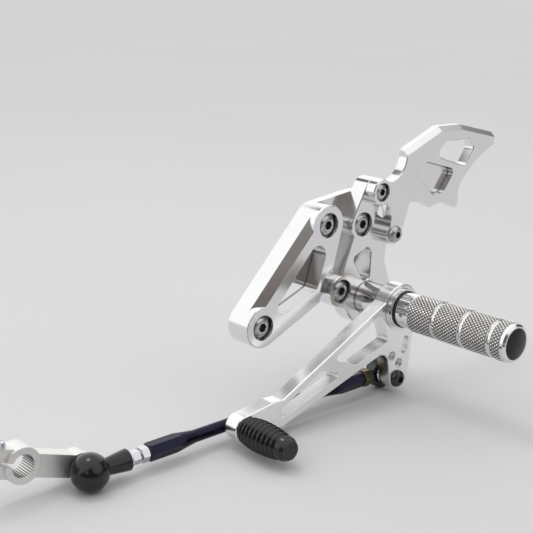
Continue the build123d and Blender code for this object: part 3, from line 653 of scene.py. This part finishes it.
class GeometryShop(NodeShop):
    """Builds one Geometry Nodes tree with named inputs, and grows pieces from it."""

    sharp_angle: float = math.radians(32.0)

    def __init__(self, name: str, sizes: dict[str, float], counts: dict[str, int]) -> None:
        """Start the tree.

        Args:
            name: The tree's name.
            sizes: Named lengths and shares with their values.
            counts: Named whole numbers with their values.
        """
        super().__init__(bpy.data.node_groups.new(name, "GeometryNodeTree"))
        self.values: dict[str, float | int] = {**sizes, **counts}
        face = self.tree.interface
        for key in sizes:
            face.new_socket(key, in_out="INPUT", socket_type="NodeSocketFloat")
        for key in counts:
            face.new_socket(key, in_out="INPUT", socket_type="NodeSocketInt")
        face.new_socket("Finish", in_out="INPUT", socket_type="NodeSocketMaterial")
        face.new_socket("Geometry", in_out="OUTPUT", socket_type="NodeSocketGeometry")
        self.inputs = self.node("NodeGroupInput")

    def given(self, key: str) -> Field:
        """One of the tree's named inputs."""
        return self.field(self.inputs, key)

    def close(self, geometry: bpy.types.NodeSocket, smooth: bool) -> None:
        """End the tree in real, shaded and finished geometry.

        Args:
            geometry: What was built.
            smooth: Whether its faces are shaded smooth.
        """
        real = self.node("GeometryNodeRealizeInstances", None, {0: geometry})
        shade = self.node(
            "GeometryNodeSetShadeSmooth", None, {"Geometry": real.outputs[0], "Shade Smooth": smooth}
        )
        finish = self.node(
            "GeometryNodeSetMaterial",
            None,
            {"Geometry": shade.outputs[0], "Material": self.given("Finish")},
        )
        self.node("NodeGroupOutput", None, {0: finish.outputs[0]})

    def grow(self, name: str, material: bpy.types.Material) -> bpy.types.Object:
        """Make a plain mesh piece from the tree.

        Args:
            name: The piece's name.
            material: Its finish.

        Returns:
            The piece, at the origin.
        """
        piece = bpy.data.objects.new(name, bpy.data.meshes.new(name + "_start"))
        bpy.context.scene.collection.objects.link(piece)
        rule = piece.modifiers.new("rule", "NODES")
        rule.node_group = self.tree
        for item in self.tree.interface.items_tree:
            if item.in_out == "INPUT":
                rule[item.identifier] = material if item.name == "Finish" else self.values[item.name]
        graph = bpy.context.evaluated_depsgraph_get()
        mesh = bpy.data.meshes.new_from_object(
            piece.evaluated_get(graph), preserve_all_data_layers=True, depsgraph=graph
        )
        piece.modifiers.clear()
        piece.data = mesh
        mesh.name = name
        turn_outwards(mesh)
        mesh.set_sharp_from_angle(angle=self.sharp_angle)
        return piece


def turn_outwards(mesh: bpy.types.Mesh) -> None:
    """Make a closed mesh's faces point outwards."""
    work = bmesh.new()
    work.from_mesh(mesh)
    bmesh.ops.recalc_face_normals(work, faces=work.faces)
    work.to_mesh(mesh)
    work.free()


def seat(piece: bpy.types.Object, body: Body) -> bpy.types.Object:
    """Fix a piece to its body.

    Args:
        piece: A finished piece.
        body: The body that it rides on.

    Returns:
        The piece.
    """
    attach(piece, body.value)
    return piece


Rule = Callable[[GeometryShop, Field, Field], Field]


@dataclass
class Turning:
    """A closed solid of revolution about an axis along Y, whose radius follows a rule.

    The rule gets the shop, the distance from the start in metres and the turn in radians.
    """

    name: str
    centre: Vector
    start: float
    end: float
    rows: int
    around: int
    rule: Rule
    sizes: dict[str, float]
    counts: dict[str, int]
    smooth: bool = False
    bored: bool = False
    weld: float = 0.0005 * MM

    def shop(self) -> GeometryShop:
        """Build the tree.

        Returns:
            The shop that holds it.
        """
        places = {
            "Axis X": self.centre.x,
            "Axis Z": self.centre.z,
            "Start": self.start,
            "Length": self.end - self.start,
        }
        counts = {"Rows": self.rows, "Around": self.around}
        shop = GeometryShop(self.name, {**places, **self.sizes}, {**counts, **self.counts})
        rows, around = shop.given("Rows"), shop.given("Around")
        lines = rows * 2.0 + 3.0 if self.bored else rows + 3.0
        grid = shop.node(
            "GeometryNodeMeshGrid",
            None,
            {"Size X": 1.0, "Size Y": 1.0, "Vertices X": lines, "Vertices Y": around + 1.0},
        )
        point = shop.node("GeometryNodeInputPosition").outputs[0]
        spot = shop.node("ShaderNodeSeparateXYZ", None, {0: point})
        row = (shop.field(spot, "X") + 0.5) * (lines - 1.0)
        turn = (shop.field(spot, "Y") + 0.5) * FULL_TURN
        along, radius = self._bored(shop, row, turn) if self.bored else self._solid(shop, row, turn)
        where = shop.node(
            "ShaderNodeCombineXYZ",
            None,
            {
                "X": shop.given("Axis X") + radius * turn.cosine(),
                "Y": shop.given("Start") + along,
                "Z": shop.given("Axis Z") + radius * turn.sine(),
            },
        )
        moved = shop.node(
            "GeometryNodeSetPosition", None, {"Geometry": grid.outputs[0], "Position": where.outputs[0]}
        )
        joined = shop.node(
            "GeometryNodeMergeByDistance", None, {"Geometry": moved.outputs[0], "Distance": self.weld}
        )
        shop.close(joined.outputs[0], self.smooth)
        return shop

    def _solid(self, shop: GeometryShop, row: Field, turn: Field) -> tuple[Field, Field]:
        """Distance and radius of each row of a solid with flat ends.

        Args:
            shop: The tree's shop.
            row: The row's number.
            turn: The turn about the axis.

        Returns:
            The distance from the start and the radius.
        """
        rows = shop.given("Rows")
        share = ((row - 1.0) / rows).clamped()
        ends = (row - 0.5).over(0.0) * (rows + 1.5 - row).over(0.0)
        along = share * shop.given("Length")
        return along, ends * self.rule(shop, along, turn)

    def _bored(self, shop: GeometryShop, row: Field, turn: Field) -> tuple[Field, Field]:
        """Distance and radius of each row of a ring whose bore follows the rule.

        Args:
            shop: The tree's shop.
            row: The row's number.
            turn: The turn about the axis.

        Returns:
            The distance from the start and the radius.
        """
        rows = shop.given("Rows")
        outer = row.over(rows + 0.5)
        back = (2.0 * rows + 1.0 - row).most(0.0)
        share = ((1.0 - outer) * row + outer * back) / rows
        along = share.clamped() * shop.given("Length")
        closing = row.over(2.0 * rows + 1.5)
        bore = ((1.0 - outer) + closing).clamped()
        return along, bore * self.rule(shop, along, turn) + (1.0 - bore) * shop.given("Outer radius")


@dataclass
class Thread:
    """A screw thread cut on a stud or in a hole, along Y."""

    name: str
    crest_radius: float
    root_radius: float
    pitch: float
    steps: int = 8
    around: int = 32
    least_rows: int = 8
    root_flat: float = 0.12
    flank_share: float = 0.76

    def rule(self, shop: GeometryShop, along: Field, turn: Field) -> Field:
        """The thread's flanks.

        Args:
            shop: The tree's shop.
            along: Distance from the start.
            turn: Turn about the axis.

        Returns:
            The radius.
        """
        wave = (along / shop.given("Pitch") + turn / FULL_TURN).triangle()
        rise = ((wave - self.root_flat) / self.flank_share).clamped()
        return shop.given("Root radius") + rise * (shop.given("Crest radius") - shop.given("Root radius"))

    def made(
        self,
        centre: Vector,
        start: float,
        end: float,
        finish: bpy.types.Material,
        outer_radius: float = 0.0,
    ) -> bpy.types.Object:
        """Make the thread.

        Args:
            centre: A point of its axis.
            start: Y of its first end.
            end: Y of its other end.
            finish: Its material.
            outer_radius: Radius of the ring that carries it in a hole, or 0 on a stud.

        Returns:
            The piece.
        """
        sizes = {
            "Root radius": self.root_radius,
            "Crest radius": self.crest_radius,
            "Pitch": self.pitch,
            "Outer radius": outer_radius,
        }
        rows = max(self.least_rows, round((end - start) / self.pitch * self.steps))
        turning = Turning(
            self.name,
            centre,
            start,
            end,
            rows,
            self.around,
            self.rule,
            sizes,
            {},
            smooth=True,
            bored=outer_radius > 0.0,
        )
        return turning.shop().grow(self.name, finish)


@dataclass
class FrameSide:
    """Base plate, peg hanger and heel guard, with their screws."""

    palette: Palette
    body: Body = Body.FRAME_SIDE
    stud_root: float = 3.4 * MM
    stud_crest: float = 3.96 * MM
    stud_pitch: float = 1.25 * MM
    stud_start: float = 0.3 * MM
    stud_end_gap: float = 0.2 * MM
    head_radius: float = 7.0 * MM

    def dress(self) -> None:
        """Give the solids their finishes."""
        dress(
            self.palette,
            {
                "base_plate": Look.MILLED,
                "peg_hanger": Look.MILLED,
                "heel_guard": Look.MILLED,
                "frame_bolts": Look.STAINLESS,
                "hanger_bolts": Look.STAINLESS,
                "heel_guard_bolts": Look.STAINLESS,
            },
        )

    def stud_threads(self) -> list[bpy.types.Object]:
        """Cut threads on the two studs behind the plate.

        Returns:
            The two threads.
        """
        low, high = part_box("frame_bolts")
        head = self.head_radius
        spots = {
            "front": Vector((high[0] - head, 0.0, low[2] + head)),
            "rear": Vector((low[0] + head, 0.0, high[2] - head)),
        }
        threads = []
        for end, spot in spots.items():
            thread = Thread(f"stud_thread_{end}", self.stud_crest, self.stud_root, self.stud_pitch)
            start = low[1] + self.stud_end_gap
            piece = thread.made(spot, start, -self.stud_start, self.palette[Look.STAINLESS])
            threads.append(seat(piece, self.body))
        return threads

    def build(self) -> list[bpy.types.Object]:
        """Dress the solids and add the threads."""
        self.dress()
        return self.stud_threads()


@dataclass
class Footpeg:
    """Knurled bar with its root rings, bolt and end plug."""

    palette: Palette
    body: Body = Body.FRAME_SIDE
    body_radius: float = 11.0 * MM
    knurl_start: float = 10.9 * MM
    knurl_end_left: float = 3.3 * MM
    knurl_depth: float = 0.46 * MM
    knurl_rise: float = 0.02 * MM
    diamonds_round: int = 34
    diamonds_long: int = 25
    diamond_steps: int = 8
    first_groove: float = 29.0 * MM
    groove_pitch: float = 20.1 * MM
    groove_width: float = 2.2 * MM
    groove_margin: float = 0.3 * MM
    sunk_depth: float = 2.0 * MM

    def dress(self) -> None:
        """Give the solids their finishes."""
        dress(
            self.palette,
            {
                "footpeg": Look.TURNED,
                "footpeg_bolt": Look.STAINLESS,
                "footpeg_end_plug": Look.PLASTIC,
                "peg_o_ring": Look.RUBBER,
                "pivot_collar": Look.TURNED,
                "pivot_sleeve": Look.BEARING,
                "thrust_washer": Look.BRONZE,
            },
        )

    def rule(self, shop: GeometryShop, along: Field, turn: Field) -> Field:
        """Rows of small pyramids, broken by the plain grooves.

        Args:
            shop: The tree's shop.
            along: Distance from the knurl's start.
            turn: Turn about the axis.

        Returns:
            The radius.
        """
        across = turn * (shop.given("Diamonds round") / FULL_TURN)
        down = along / shop.given("Length") * shop.given("Diamonds long")
        height = (across + down).triangle().least((across - down).triangle())
        first = shop.given("First groove")
        beat = (along - first) / shop.given("Groove pitch")
        nearest = ((beat + 0.5).fraction() - 0.5).size() * shop.given("Groove pitch")
        band = nearest.over(shop.given("Groove width") * 0.5)
        crown = shop.given("Valley radius") + height * shop.given("Knurl depth")
        return band * crown + (1.0 - band) * shop.given("Sunk radius")

    def knurl(self) -> bpy.types.Object:
        """Roll the knurling on the bar."""
        low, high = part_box("footpeg")
        start, end = low[1] + self.knurl_start, high[1] - self.knurl_end_left
        valley = self.body_radius + self.knurl_rise
        sizes = {
            "Valley radius": valley,
            "Knurl depth": self.knurl_depth,
            "Sunk radius": self.body_radius - self.sunk_depth,
            "First groove": self.first_groove - self.knurl_start,
            "Groove pitch": self.groove_pitch,
            "Groove width": self.groove_width + self.groove_margin,
        }
        counts = {"Diamonds round": self.diamonds_round, "Diamonds long": self.diamonds_long}
        turning = Turning(
            "footpeg_knurl",
            middle("footpeg"),
            start,
            end,
            self.diamond_steps * self.diamonds_long,
            self.diamond_steps * self.diamonds_round,
            self.rule,
            sizes,
            counts,
        )
        piece = turning.shop().grow("footpeg_knurl", self.palette[Look.KNURLED])
        self.store_relief(piece, valley)
        return seat(piece, self.body)

    def store_relief(self, piece: bpy.types.Object, valley: float) -> None:
        """Keep each point's height in the knurl, from 0 to 1, for the painted shade in its valleys.

        Args:
            piece: The knurl.
            valley: Radius of its valleys.
        """
        axis = middle("footpeg")
        relief = piece.data.attributes.new("relief", "FLOAT", "POINT")
        for point, value in zip(piece.data.vertices, relief.data):
            reach = math.hypot(point.co.x - axis.x, point.co.z - axis.z)
            value.value = min(1.0, max(0.0, (reach - valley) / self.knurl_depth))

    def build(self) -> list[bpy.types.Object]:
        """Dress the solids and add the knurling."""
        self.dress()
        return [self.knurl()]


@dataclass
class ShiftLever:
    """Truss lever with its bush, toe peg and rod bolt."""

    palette: Palette
    body: Body = Body.LEVER
    root_radius: float = 7.1 * MM
    swell_radius: float = 8.9 * MM
    end_radius: float = 6.0 * MM
    swell_share: float = 0.36
    ribs: int = 11
    rib_rows: int = 14
    around: int = 72
    groove_width: float = 2.1 * MM
    groove_depth: float = 1.5 * MM
    groove_spread: float = 0.75
    rim_length: float = 2.4 * MM
    rim_slope: float = 0.34
    cap_length: float = 4.4 * MM
    tapped_root: float = 3.04 * MM
    tapped_crest: float = 2.55 * MM
    tapped_shell: float = 3.2 * MM
    tapped_pitch: float = 1.0 * MM
    tapped_end_gap: float = 0.6 * MM
    tapped_places: tuple[tuple[float, float], ...] = (
        (-51.18 * MM, -53.55 * MM),
        (-57.33 * MM, -59.29 * MM),
    )

    def dress(self) -> None:
        """Give the solids their finishes."""
        dress(
            self.palette,
            {
                "shift_lever": Look.BRUSHED,
                "lever_bush": Look.BRONZE,
                "toe_peg_core": Look.BEARING,
                "toe_peg_screw": Look.STAINLESS,
                "rod_end_bolt": Look.BLACKENED,
                "rod_end_spacer": Look.ZINC,
                "rod_end_ball": Look.BEARING,
                "rod_end_nut": Look.ZINC,
            },
        )

    def rule(self, shop: GeometryShop, along: Field, turn: Field) -> Field:
        """A barrel with ribs between round-bottomed grooves.

        Args:
            shop: The tree's shop.
            along: Distance from the rubber's root.
            turn: Turn about the axis, which the rubber doesn't change with.

        Returns:
            The radius.
        """
        share = along / shop.given("Length")
        swell, top = shop.given("Swell radius"), shop.given("Swell share")
        inner = ((top - share) / top).clamped()
        outer = ((share - top) / (1.0 - top)).clamped()
        barrel = swell - inner * inner * (swell - shop.given("Root radius"))
        barrel = barrel - outer * outer * (swell - shop.given("End radius"))
        beat = share * shop.given("Ribs")
        nearest = ((beat + 0.5).fraction() - 0.5).size() / shop.given("Ribs") * shop.given("Length")
        left = (1.0 - share) * shop.given("Length")
        depth = (1.0 - nearest / (shop.given("Groove width") * self.groove_spread)).eased()
        cut = depth * shop.given("Groove depth")
        bevel = (shop.given("Rim length") - left).most(0.0) * shop.given("Rim slope")
        return barrel - cut * left.over(shop.given("Cap length")) - bevel

    def toe_rubber(self) -> bpy.types.Object:
        """Mould the ribbed toe rubber in place of its plain solid."""
        low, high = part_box("toe_peg_rubber")
        sizes = {
            "Root radius": self.root_radius,
            "Swell radius": self.swell_radius,
            "End radius": self.end_radius,
            "Swell share": self.swell_share,
            "Groove width": self.groove_width,
            "Groove depth": self.groove_depth,
            "Rim length": self.rim_length,
            "Rim slope": self.rim_slope,
            "Cap length": self.cap_length,
        }
        turning = Turning(
            "toe_rubber",
            middle("toe_peg_rubber"),
            low[1],
            high[1],
            self.rib_rows * self.ribs,
            self.around,
            self.rule,
            sizes,
            {"Ribs": self.ribs},
            smooth=True,
        )
        piece = turning.shop().grow("toe_rubber", self.palette[Look.RUBBER])
        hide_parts("toe_peg_rubber")
        return seat(piece, self.body)

    def tapped_threads(self) -> list[bpy.types.Object]:
        """Cut threads in the tail's spare holes.

        Returns:
            The threads.
        """
        low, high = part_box("shift_lever")
        start, end = low[1] + self.tapped_end_gap, high[1] - self.tapped_end_gap
        threads = []
        for number, (x, z) in enumerate(self.tapped_places, 1):
            thread = Thread(f"tail_thread_{number}", self.tapped_crest, self.tapped_root, self.tapped_pitch)
            spot = Vector((x, 0.0, z))
            piece = thread.made(spot, start, end, self.palette[Look.TURNED], self.tapped_shell)
            threads.append(seat(piece, self.body))
        return threads

    def build(self) -> list[bpy.types.Object]:
        """Dress the solids, mould the rubber and cut the threads."""
        self.dress()
        return [self.toe_rubber(), *self.tapped_threads()]


@dataclass
class ShiftRod:
    """Hexagon rod between its rear rod end and its front ball joint."""

    palette: Palette

    def build(self) -> list[bpy.types.Object]:
        """Dress the solids, which need no more pieces."""
        dress(
            self.palette,
            {
                "shift_rod": Look.ANODISED,
                "rear_rod_end": Look.BLACKENED,
                "rear_lock_nut": Look.YELLOW_ZINC,
                "front_lock_nut": Look.ZINC,
                "front_joint_socket": Look.ZINC,
                "front_joint_boot": Look.RUBBER,
            },
        )
        return []


@dataclass
class GearboxArm:
    """Cast arm whose split hub grips the gearbox shaft."""

    palette: Palette
    body: Body = Body.ARM
    bore_radius: float = 6.0 * MM
    tooth_radius: float = 0.55 * MM
    tooth_sides: int = 3
    tooth_sunk: float = 0.15 * MM
    teeth: int = 30
    end_gap: float = 0.5 * MM
    slit_angle: float = math.atan2(0.331, 0.9437)
    slit_half: float = 0.22

    def dress(self) -> None:
        """Give the solids their finishes."""
        dress(
            self.palette,
            {
                "shift_arm": Look.CAST,
                "ball_stud": Look.BEARING,
                "ball_stud_nut": Look.ZINC,
                "pinch_bolt": Look.ZINC,
            },
        )

    def serrations(self) -> bpy.types.Object:
        """Set three-sided teeth round the bore, clear of the slit."""
        mount = next(m for m in frame["record"]["mounts"] if m["name"] == "gear_shaft")
        hub, length = Vector(mount["pos_m"]), mount["dims"]["length_mm"] * MM
        sizes = {
            "Hub X": hub.x,
            "Hub Y": hub.y,
            "Hub Z": hub.z,
            "Bore radius": self.bore_radius,
            "Tooth radius": self.tooth_radius,
            "Length": length - 2.0 * self.end_gap,
            "Slit angle": self.slit_angle,
            "Slit half": self.slit_half,
        }
        shop = GeometryShop("bore_serrations", sizes, {"Teeth": self.teeth})
        points = shop.node("GeometryNodePoints", None, {"Count": shop.given("Teeth")})
        number = shop.field(shop.node("GeometryNodeInputIndex"))
        turn = (number + 0.5) / shop.given("Teeth") * FULL_TURN + shop.given("Slit angle")
        reach = shop.given("Bore radius") + self.tooth_sunk
        spot = shop.node(
            "ShaderNodeCombineXYZ",
            None,
            {
                "X": shop.given("Hub X") + reach * turn.cosine(),
                "Y": shop.given("Hub Y"),
                "Z": shop.given("Hub Z") + reach * turn.sine(),
            },
        )
        ring = shop.node(
            "GeometryNodeSetPosition", None, {"Geometry": points.outputs[0], "Position": spot.outputs[0]}
        )
        past = (turn - shop.given("Slit angle")).least(FULL_TURN - (turn - shop.given("Slit angle")))
        tooth = shop.node(
            "GeometryNodeMeshCylinder",
            None,
            {
                "Vertices": self.tooth_sides,
                "Radius": shop.given("Tooth radius"),
                "Depth": shop.given("Length"),
            },
        )
        lean = shop.node("ShaderNodeCombineXYZ", None, {"X": math.pi / 2.0, "Y": math.pi - turn, "Z": 0.0})
        placed = shop.node(
            "GeometryNodeInstanceOnPoints",
            None,
            {
                "Points": ring.outputs[0],
                "Selection": past.over(shop.given("Slit half")),
                "Instance": tooth.outputs["Mesh"],
                "Rotation": lean.outputs[0],
            },
        )
        shop.close(placed.outputs[0], False)
        return seat(shop.grow("bore_serrations", self.palette[Look.BLACKENED]), self.body)

    def build(self) -> list[bpy.types.Object]:
        """Dress the solids and set the teeth."""
        self.dress()
        return [self.serrations()]


@dataclass(frozen=True)
class Lamp:
    """A bright disc in the room, given by its direction and the cosines of its rim and its full core."""

    aim: Place
    rim: float
    core: float
    power: float


@dataclass(frozen=True)
class Card:
    """A dark card, given by a corner measured from the floor and its two edges."""

    corner: Place
    first: Place
    second: Place


@dataclass
class Studio:
    """Camera of the photograph's view, pale floor, soft light and dark cards that the metal mirrors."""

    eye: Place = (0.41314, 0.46569, 0.18064)
    gaze: Place = (-0.6306, -0.7255, -0.2756)
    lens: float = 74.297
    sensor: float = 36.0
    sight: float = 100.0
    floor_reach: float = 30.0
    floor_tone: Colour = (0.61, 0.61, 0.62)
    floor_clouds: Colour = (0.63, 0.63, 0.64)
    floor_cloud_scale: float = 3.0
    floor_roughness: float = 0.6
    sky_weights: Place = (0.2, -0.9, 1.0)
    sky: tuple[tuple[float, float], ...] = (
        (-1.00, 0.10),
        (0.16, 0.10),
        (0.27, 0.27),
        (0.34, 0.62),
        (0.39, 1.02),
        (0.46, 1.20),
        (1.50, 1.20),
    )
    sky_gloom: Colour = (0.035, 0.012, 0.0)
    sky_peak: float = 1.20
    backdrop: Colour = (0.60, 0.60, 0.61)
    lamps: tuple[Lamp, ...] = (
        Lamp((-0.333, 0.714, 0.616), 0.80, 0.90, 1.10),
        Lamp((0.700, 0.580, 0.420), 0.985, 0.994, 1.10),
    )
    box_power: float = 1.4
    box_side: float = 0.27
    box_place: Place = (0.10, -0.25, 1.0)
    cards: tuple[Card, ...] = (
        Card((0.09, 0.11, 0.001), (0.81, 0.0, 0.0), (0.0, 0.79, 0.0)),
        Card((-0.09, -0.12, 0.244), (0.075, 0.0, 0.0), (0.0, 0.0, 0.055)),
    )
    card_tone: Colour = (0.075, 0.060, 0.055)
    card_dim: float = 0.8
    card_weave: float = 40.0
    card_roughness: float = 0.9

    def camera(self) -> None:
        """Stand the camera where the photograph was taken."""
        data = bpy.data.cameras.new("photo_view")
        data.sensor_fit = "HORIZONTAL"
        data.sensor_width = self.sensor
        data.lens = self.lens
        data.clip_end = self.sight
        camera = bpy.data.objects.new("photo_view", data)
        camera.location = self.eye
        camera.rotation_euler = Vector(self.gaze).to_track_quat("-Z", "Y").to_euler()
        bpy.context.scene.collection.objects.link(camera)
        bpy.context.scene.camera = camera

    @staticmethod
    def panel(
        name: str,
        corner: Vector,
        first: Vector,
        second: Vector,
        finish: bpy.types.Material,
    ) -> bpy.types.Object:
        """Make a flat four-sided panel.

        Args:
            name: Its name.
            corner: Its first corner.
            first: The edge from there to the next corner.
            second: The edge from there to the last corner.
            finish: Its material.

        Returns:
            The panel.
        """
        mesh = bpy.data.meshes.new(name)
        corners = [corner, corner + first, corner + first + second, corner + second]
        mesh.from_pydata(corners, [], [(0, 1, 2, 3)])
        mesh.materials.append(finish)
        made = bpy.data.objects.new(name, mesh)
        bpy.context.scene.collection.objects.link(made)
        return made

    def floor(self) -> None:
        """Lay a wide pale floor under the lowest point."""
        finish, shop = begin_material("floor")
        clouds = shop.noise(shop.place(), self.floor_cloud_scale)
        tone = shop.mixed(clouds, self.floor_tone, self.floor_clouds)
        shop.surface({"Base Color": tone, "Roughness": self.floor_roughness, "Specular IOR Level": 0.0})
        corner = Vector((-self.floor_reach, -self.floor_reach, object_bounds()[0][2]))
        side = 2.0 * self.floor_reach
        floor = self.panel("floor", corner, Vector((side, 0.0, 0.0)), Vector((0.0, side, 0.0)), finish)
        floor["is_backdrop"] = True

    def dark_cards(self) -> None:
        """Set up dark cards that only show as reflections in the metal."""
        finish, shop = begin_material("card")
        weave = shop.noise(shop.place(), self.card_weave)
        tone = shop.mixed(weave, self.card_tone, shaded(self.card_tone, self.card_dim))
        shop.surface({"Base Color": tone, "Roughness": self.card_roughness})
        base = Vector((0.0, 0.0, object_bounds()[0][2]))
        for number, spec in enumerate(self.cards, 1):
            corner = base + Vector(spec.corner)
            card = self.panel(f"card_{number}", corner, Vector(spec.first), Vector(spec.second), finish)
            card.visible_camera = False
            card.visible_diffuse = False
            card.visible_shadow = False
            card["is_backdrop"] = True

    def room(self) -> None:
        """Make a room that is bright behind and above, and dark in front, before a plain backdrop."""
        world = bpy.data.worlds.new("studio")
        world.use_nodes = True
        world.node_tree.nodes.clear()
        shop = NodeShop(world.node_tree)
        way = shop.node("ShaderNodeTexCoord").outputs["Generated"]
        dot = {"operation": "DOT_PRODUCT"}
        facing = shop.node("ShaderNodeVectorMath", dot, {0: way, 1: self.sky_weights})
        first, last = self.sky[0][0], self.sky[-1][0]
        stops = [((place - first) / (last - first), (light, light, light)) for place, light in self.sky]
        share = (shop.field(facing, "Value") - first) / (last - first)
        ramp = shop.node("ShaderNodeValToRGB", {"stops": stops}, {0: share})
        light = shop.field(ramp)
        for lamp in self.lamps:
            near = shop.node("ShaderNodeVectorMath", dot, {0: way, 1: lamp.aim})
            disc = ((shop.field(near, "Value") - lamp.rim) / (lamp.core - lamp.rim)).clamped()
            light = light.most(disc * lamp.power)
        seen = shop.node("ShaderNodeLightPath").outputs["Is Camera Ray"]
        full = (self.sky_peak, self.sky_peak, self.sky_peak)
        sky = shop.mixed((light / self.sky_peak).clamped(), self.sky_gloom, full)
        tone = shop.mixed(seen, sky, self.backdrop)
        glow = shop.node("ShaderNodeBackground", None, {"Color": tone, "Strength": 1.0})
        shop.node("ShaderNodeOutputWorld", None, {"Surface": glow.outputs[0]})
        bpy.context.scene.world = world

    def softbox(self) -> None:
        """Hang a small softbox overhead."""
        data = bpy.data.lights.new("softbox", "AREA")
        data.shape = "SQUARE"
        data.size = self.box_side
        data.energy = self.box_power
        softbox = bpy.data.objects.new("softbox", data)
        softbox.location = self.box_place
        bpy.context.scene.collection.objects.link(softbox)

    def build(self) -> None:
        """Set up the view."""
        bpy.context.scene.view_settings.view_transform = "Standard"
        self.camera()
        self.floor()
        self.dark_cards()
        self.room()
        self.softbox()


def main() -> None:
    """Build and dress each sub-assembly, then set up the view."""
    logging.basicConfig(level=logging.INFO, format="%(message)s")
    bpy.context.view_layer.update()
    palette = {look: finish.material(look) for look, finish in FINISHES.items()}
    for kind in (FrameSide, Footpeg, ShiftLever, ShiftRod, GearboxArm):
        for piece in kind(palette).build():
            log.info("%s: %d faces", piece.name, len(piece.data.polygons))
        log.info("%s dressed", kind.__name__)
    Studio().build()


if __name__ == "__main__":
    main()
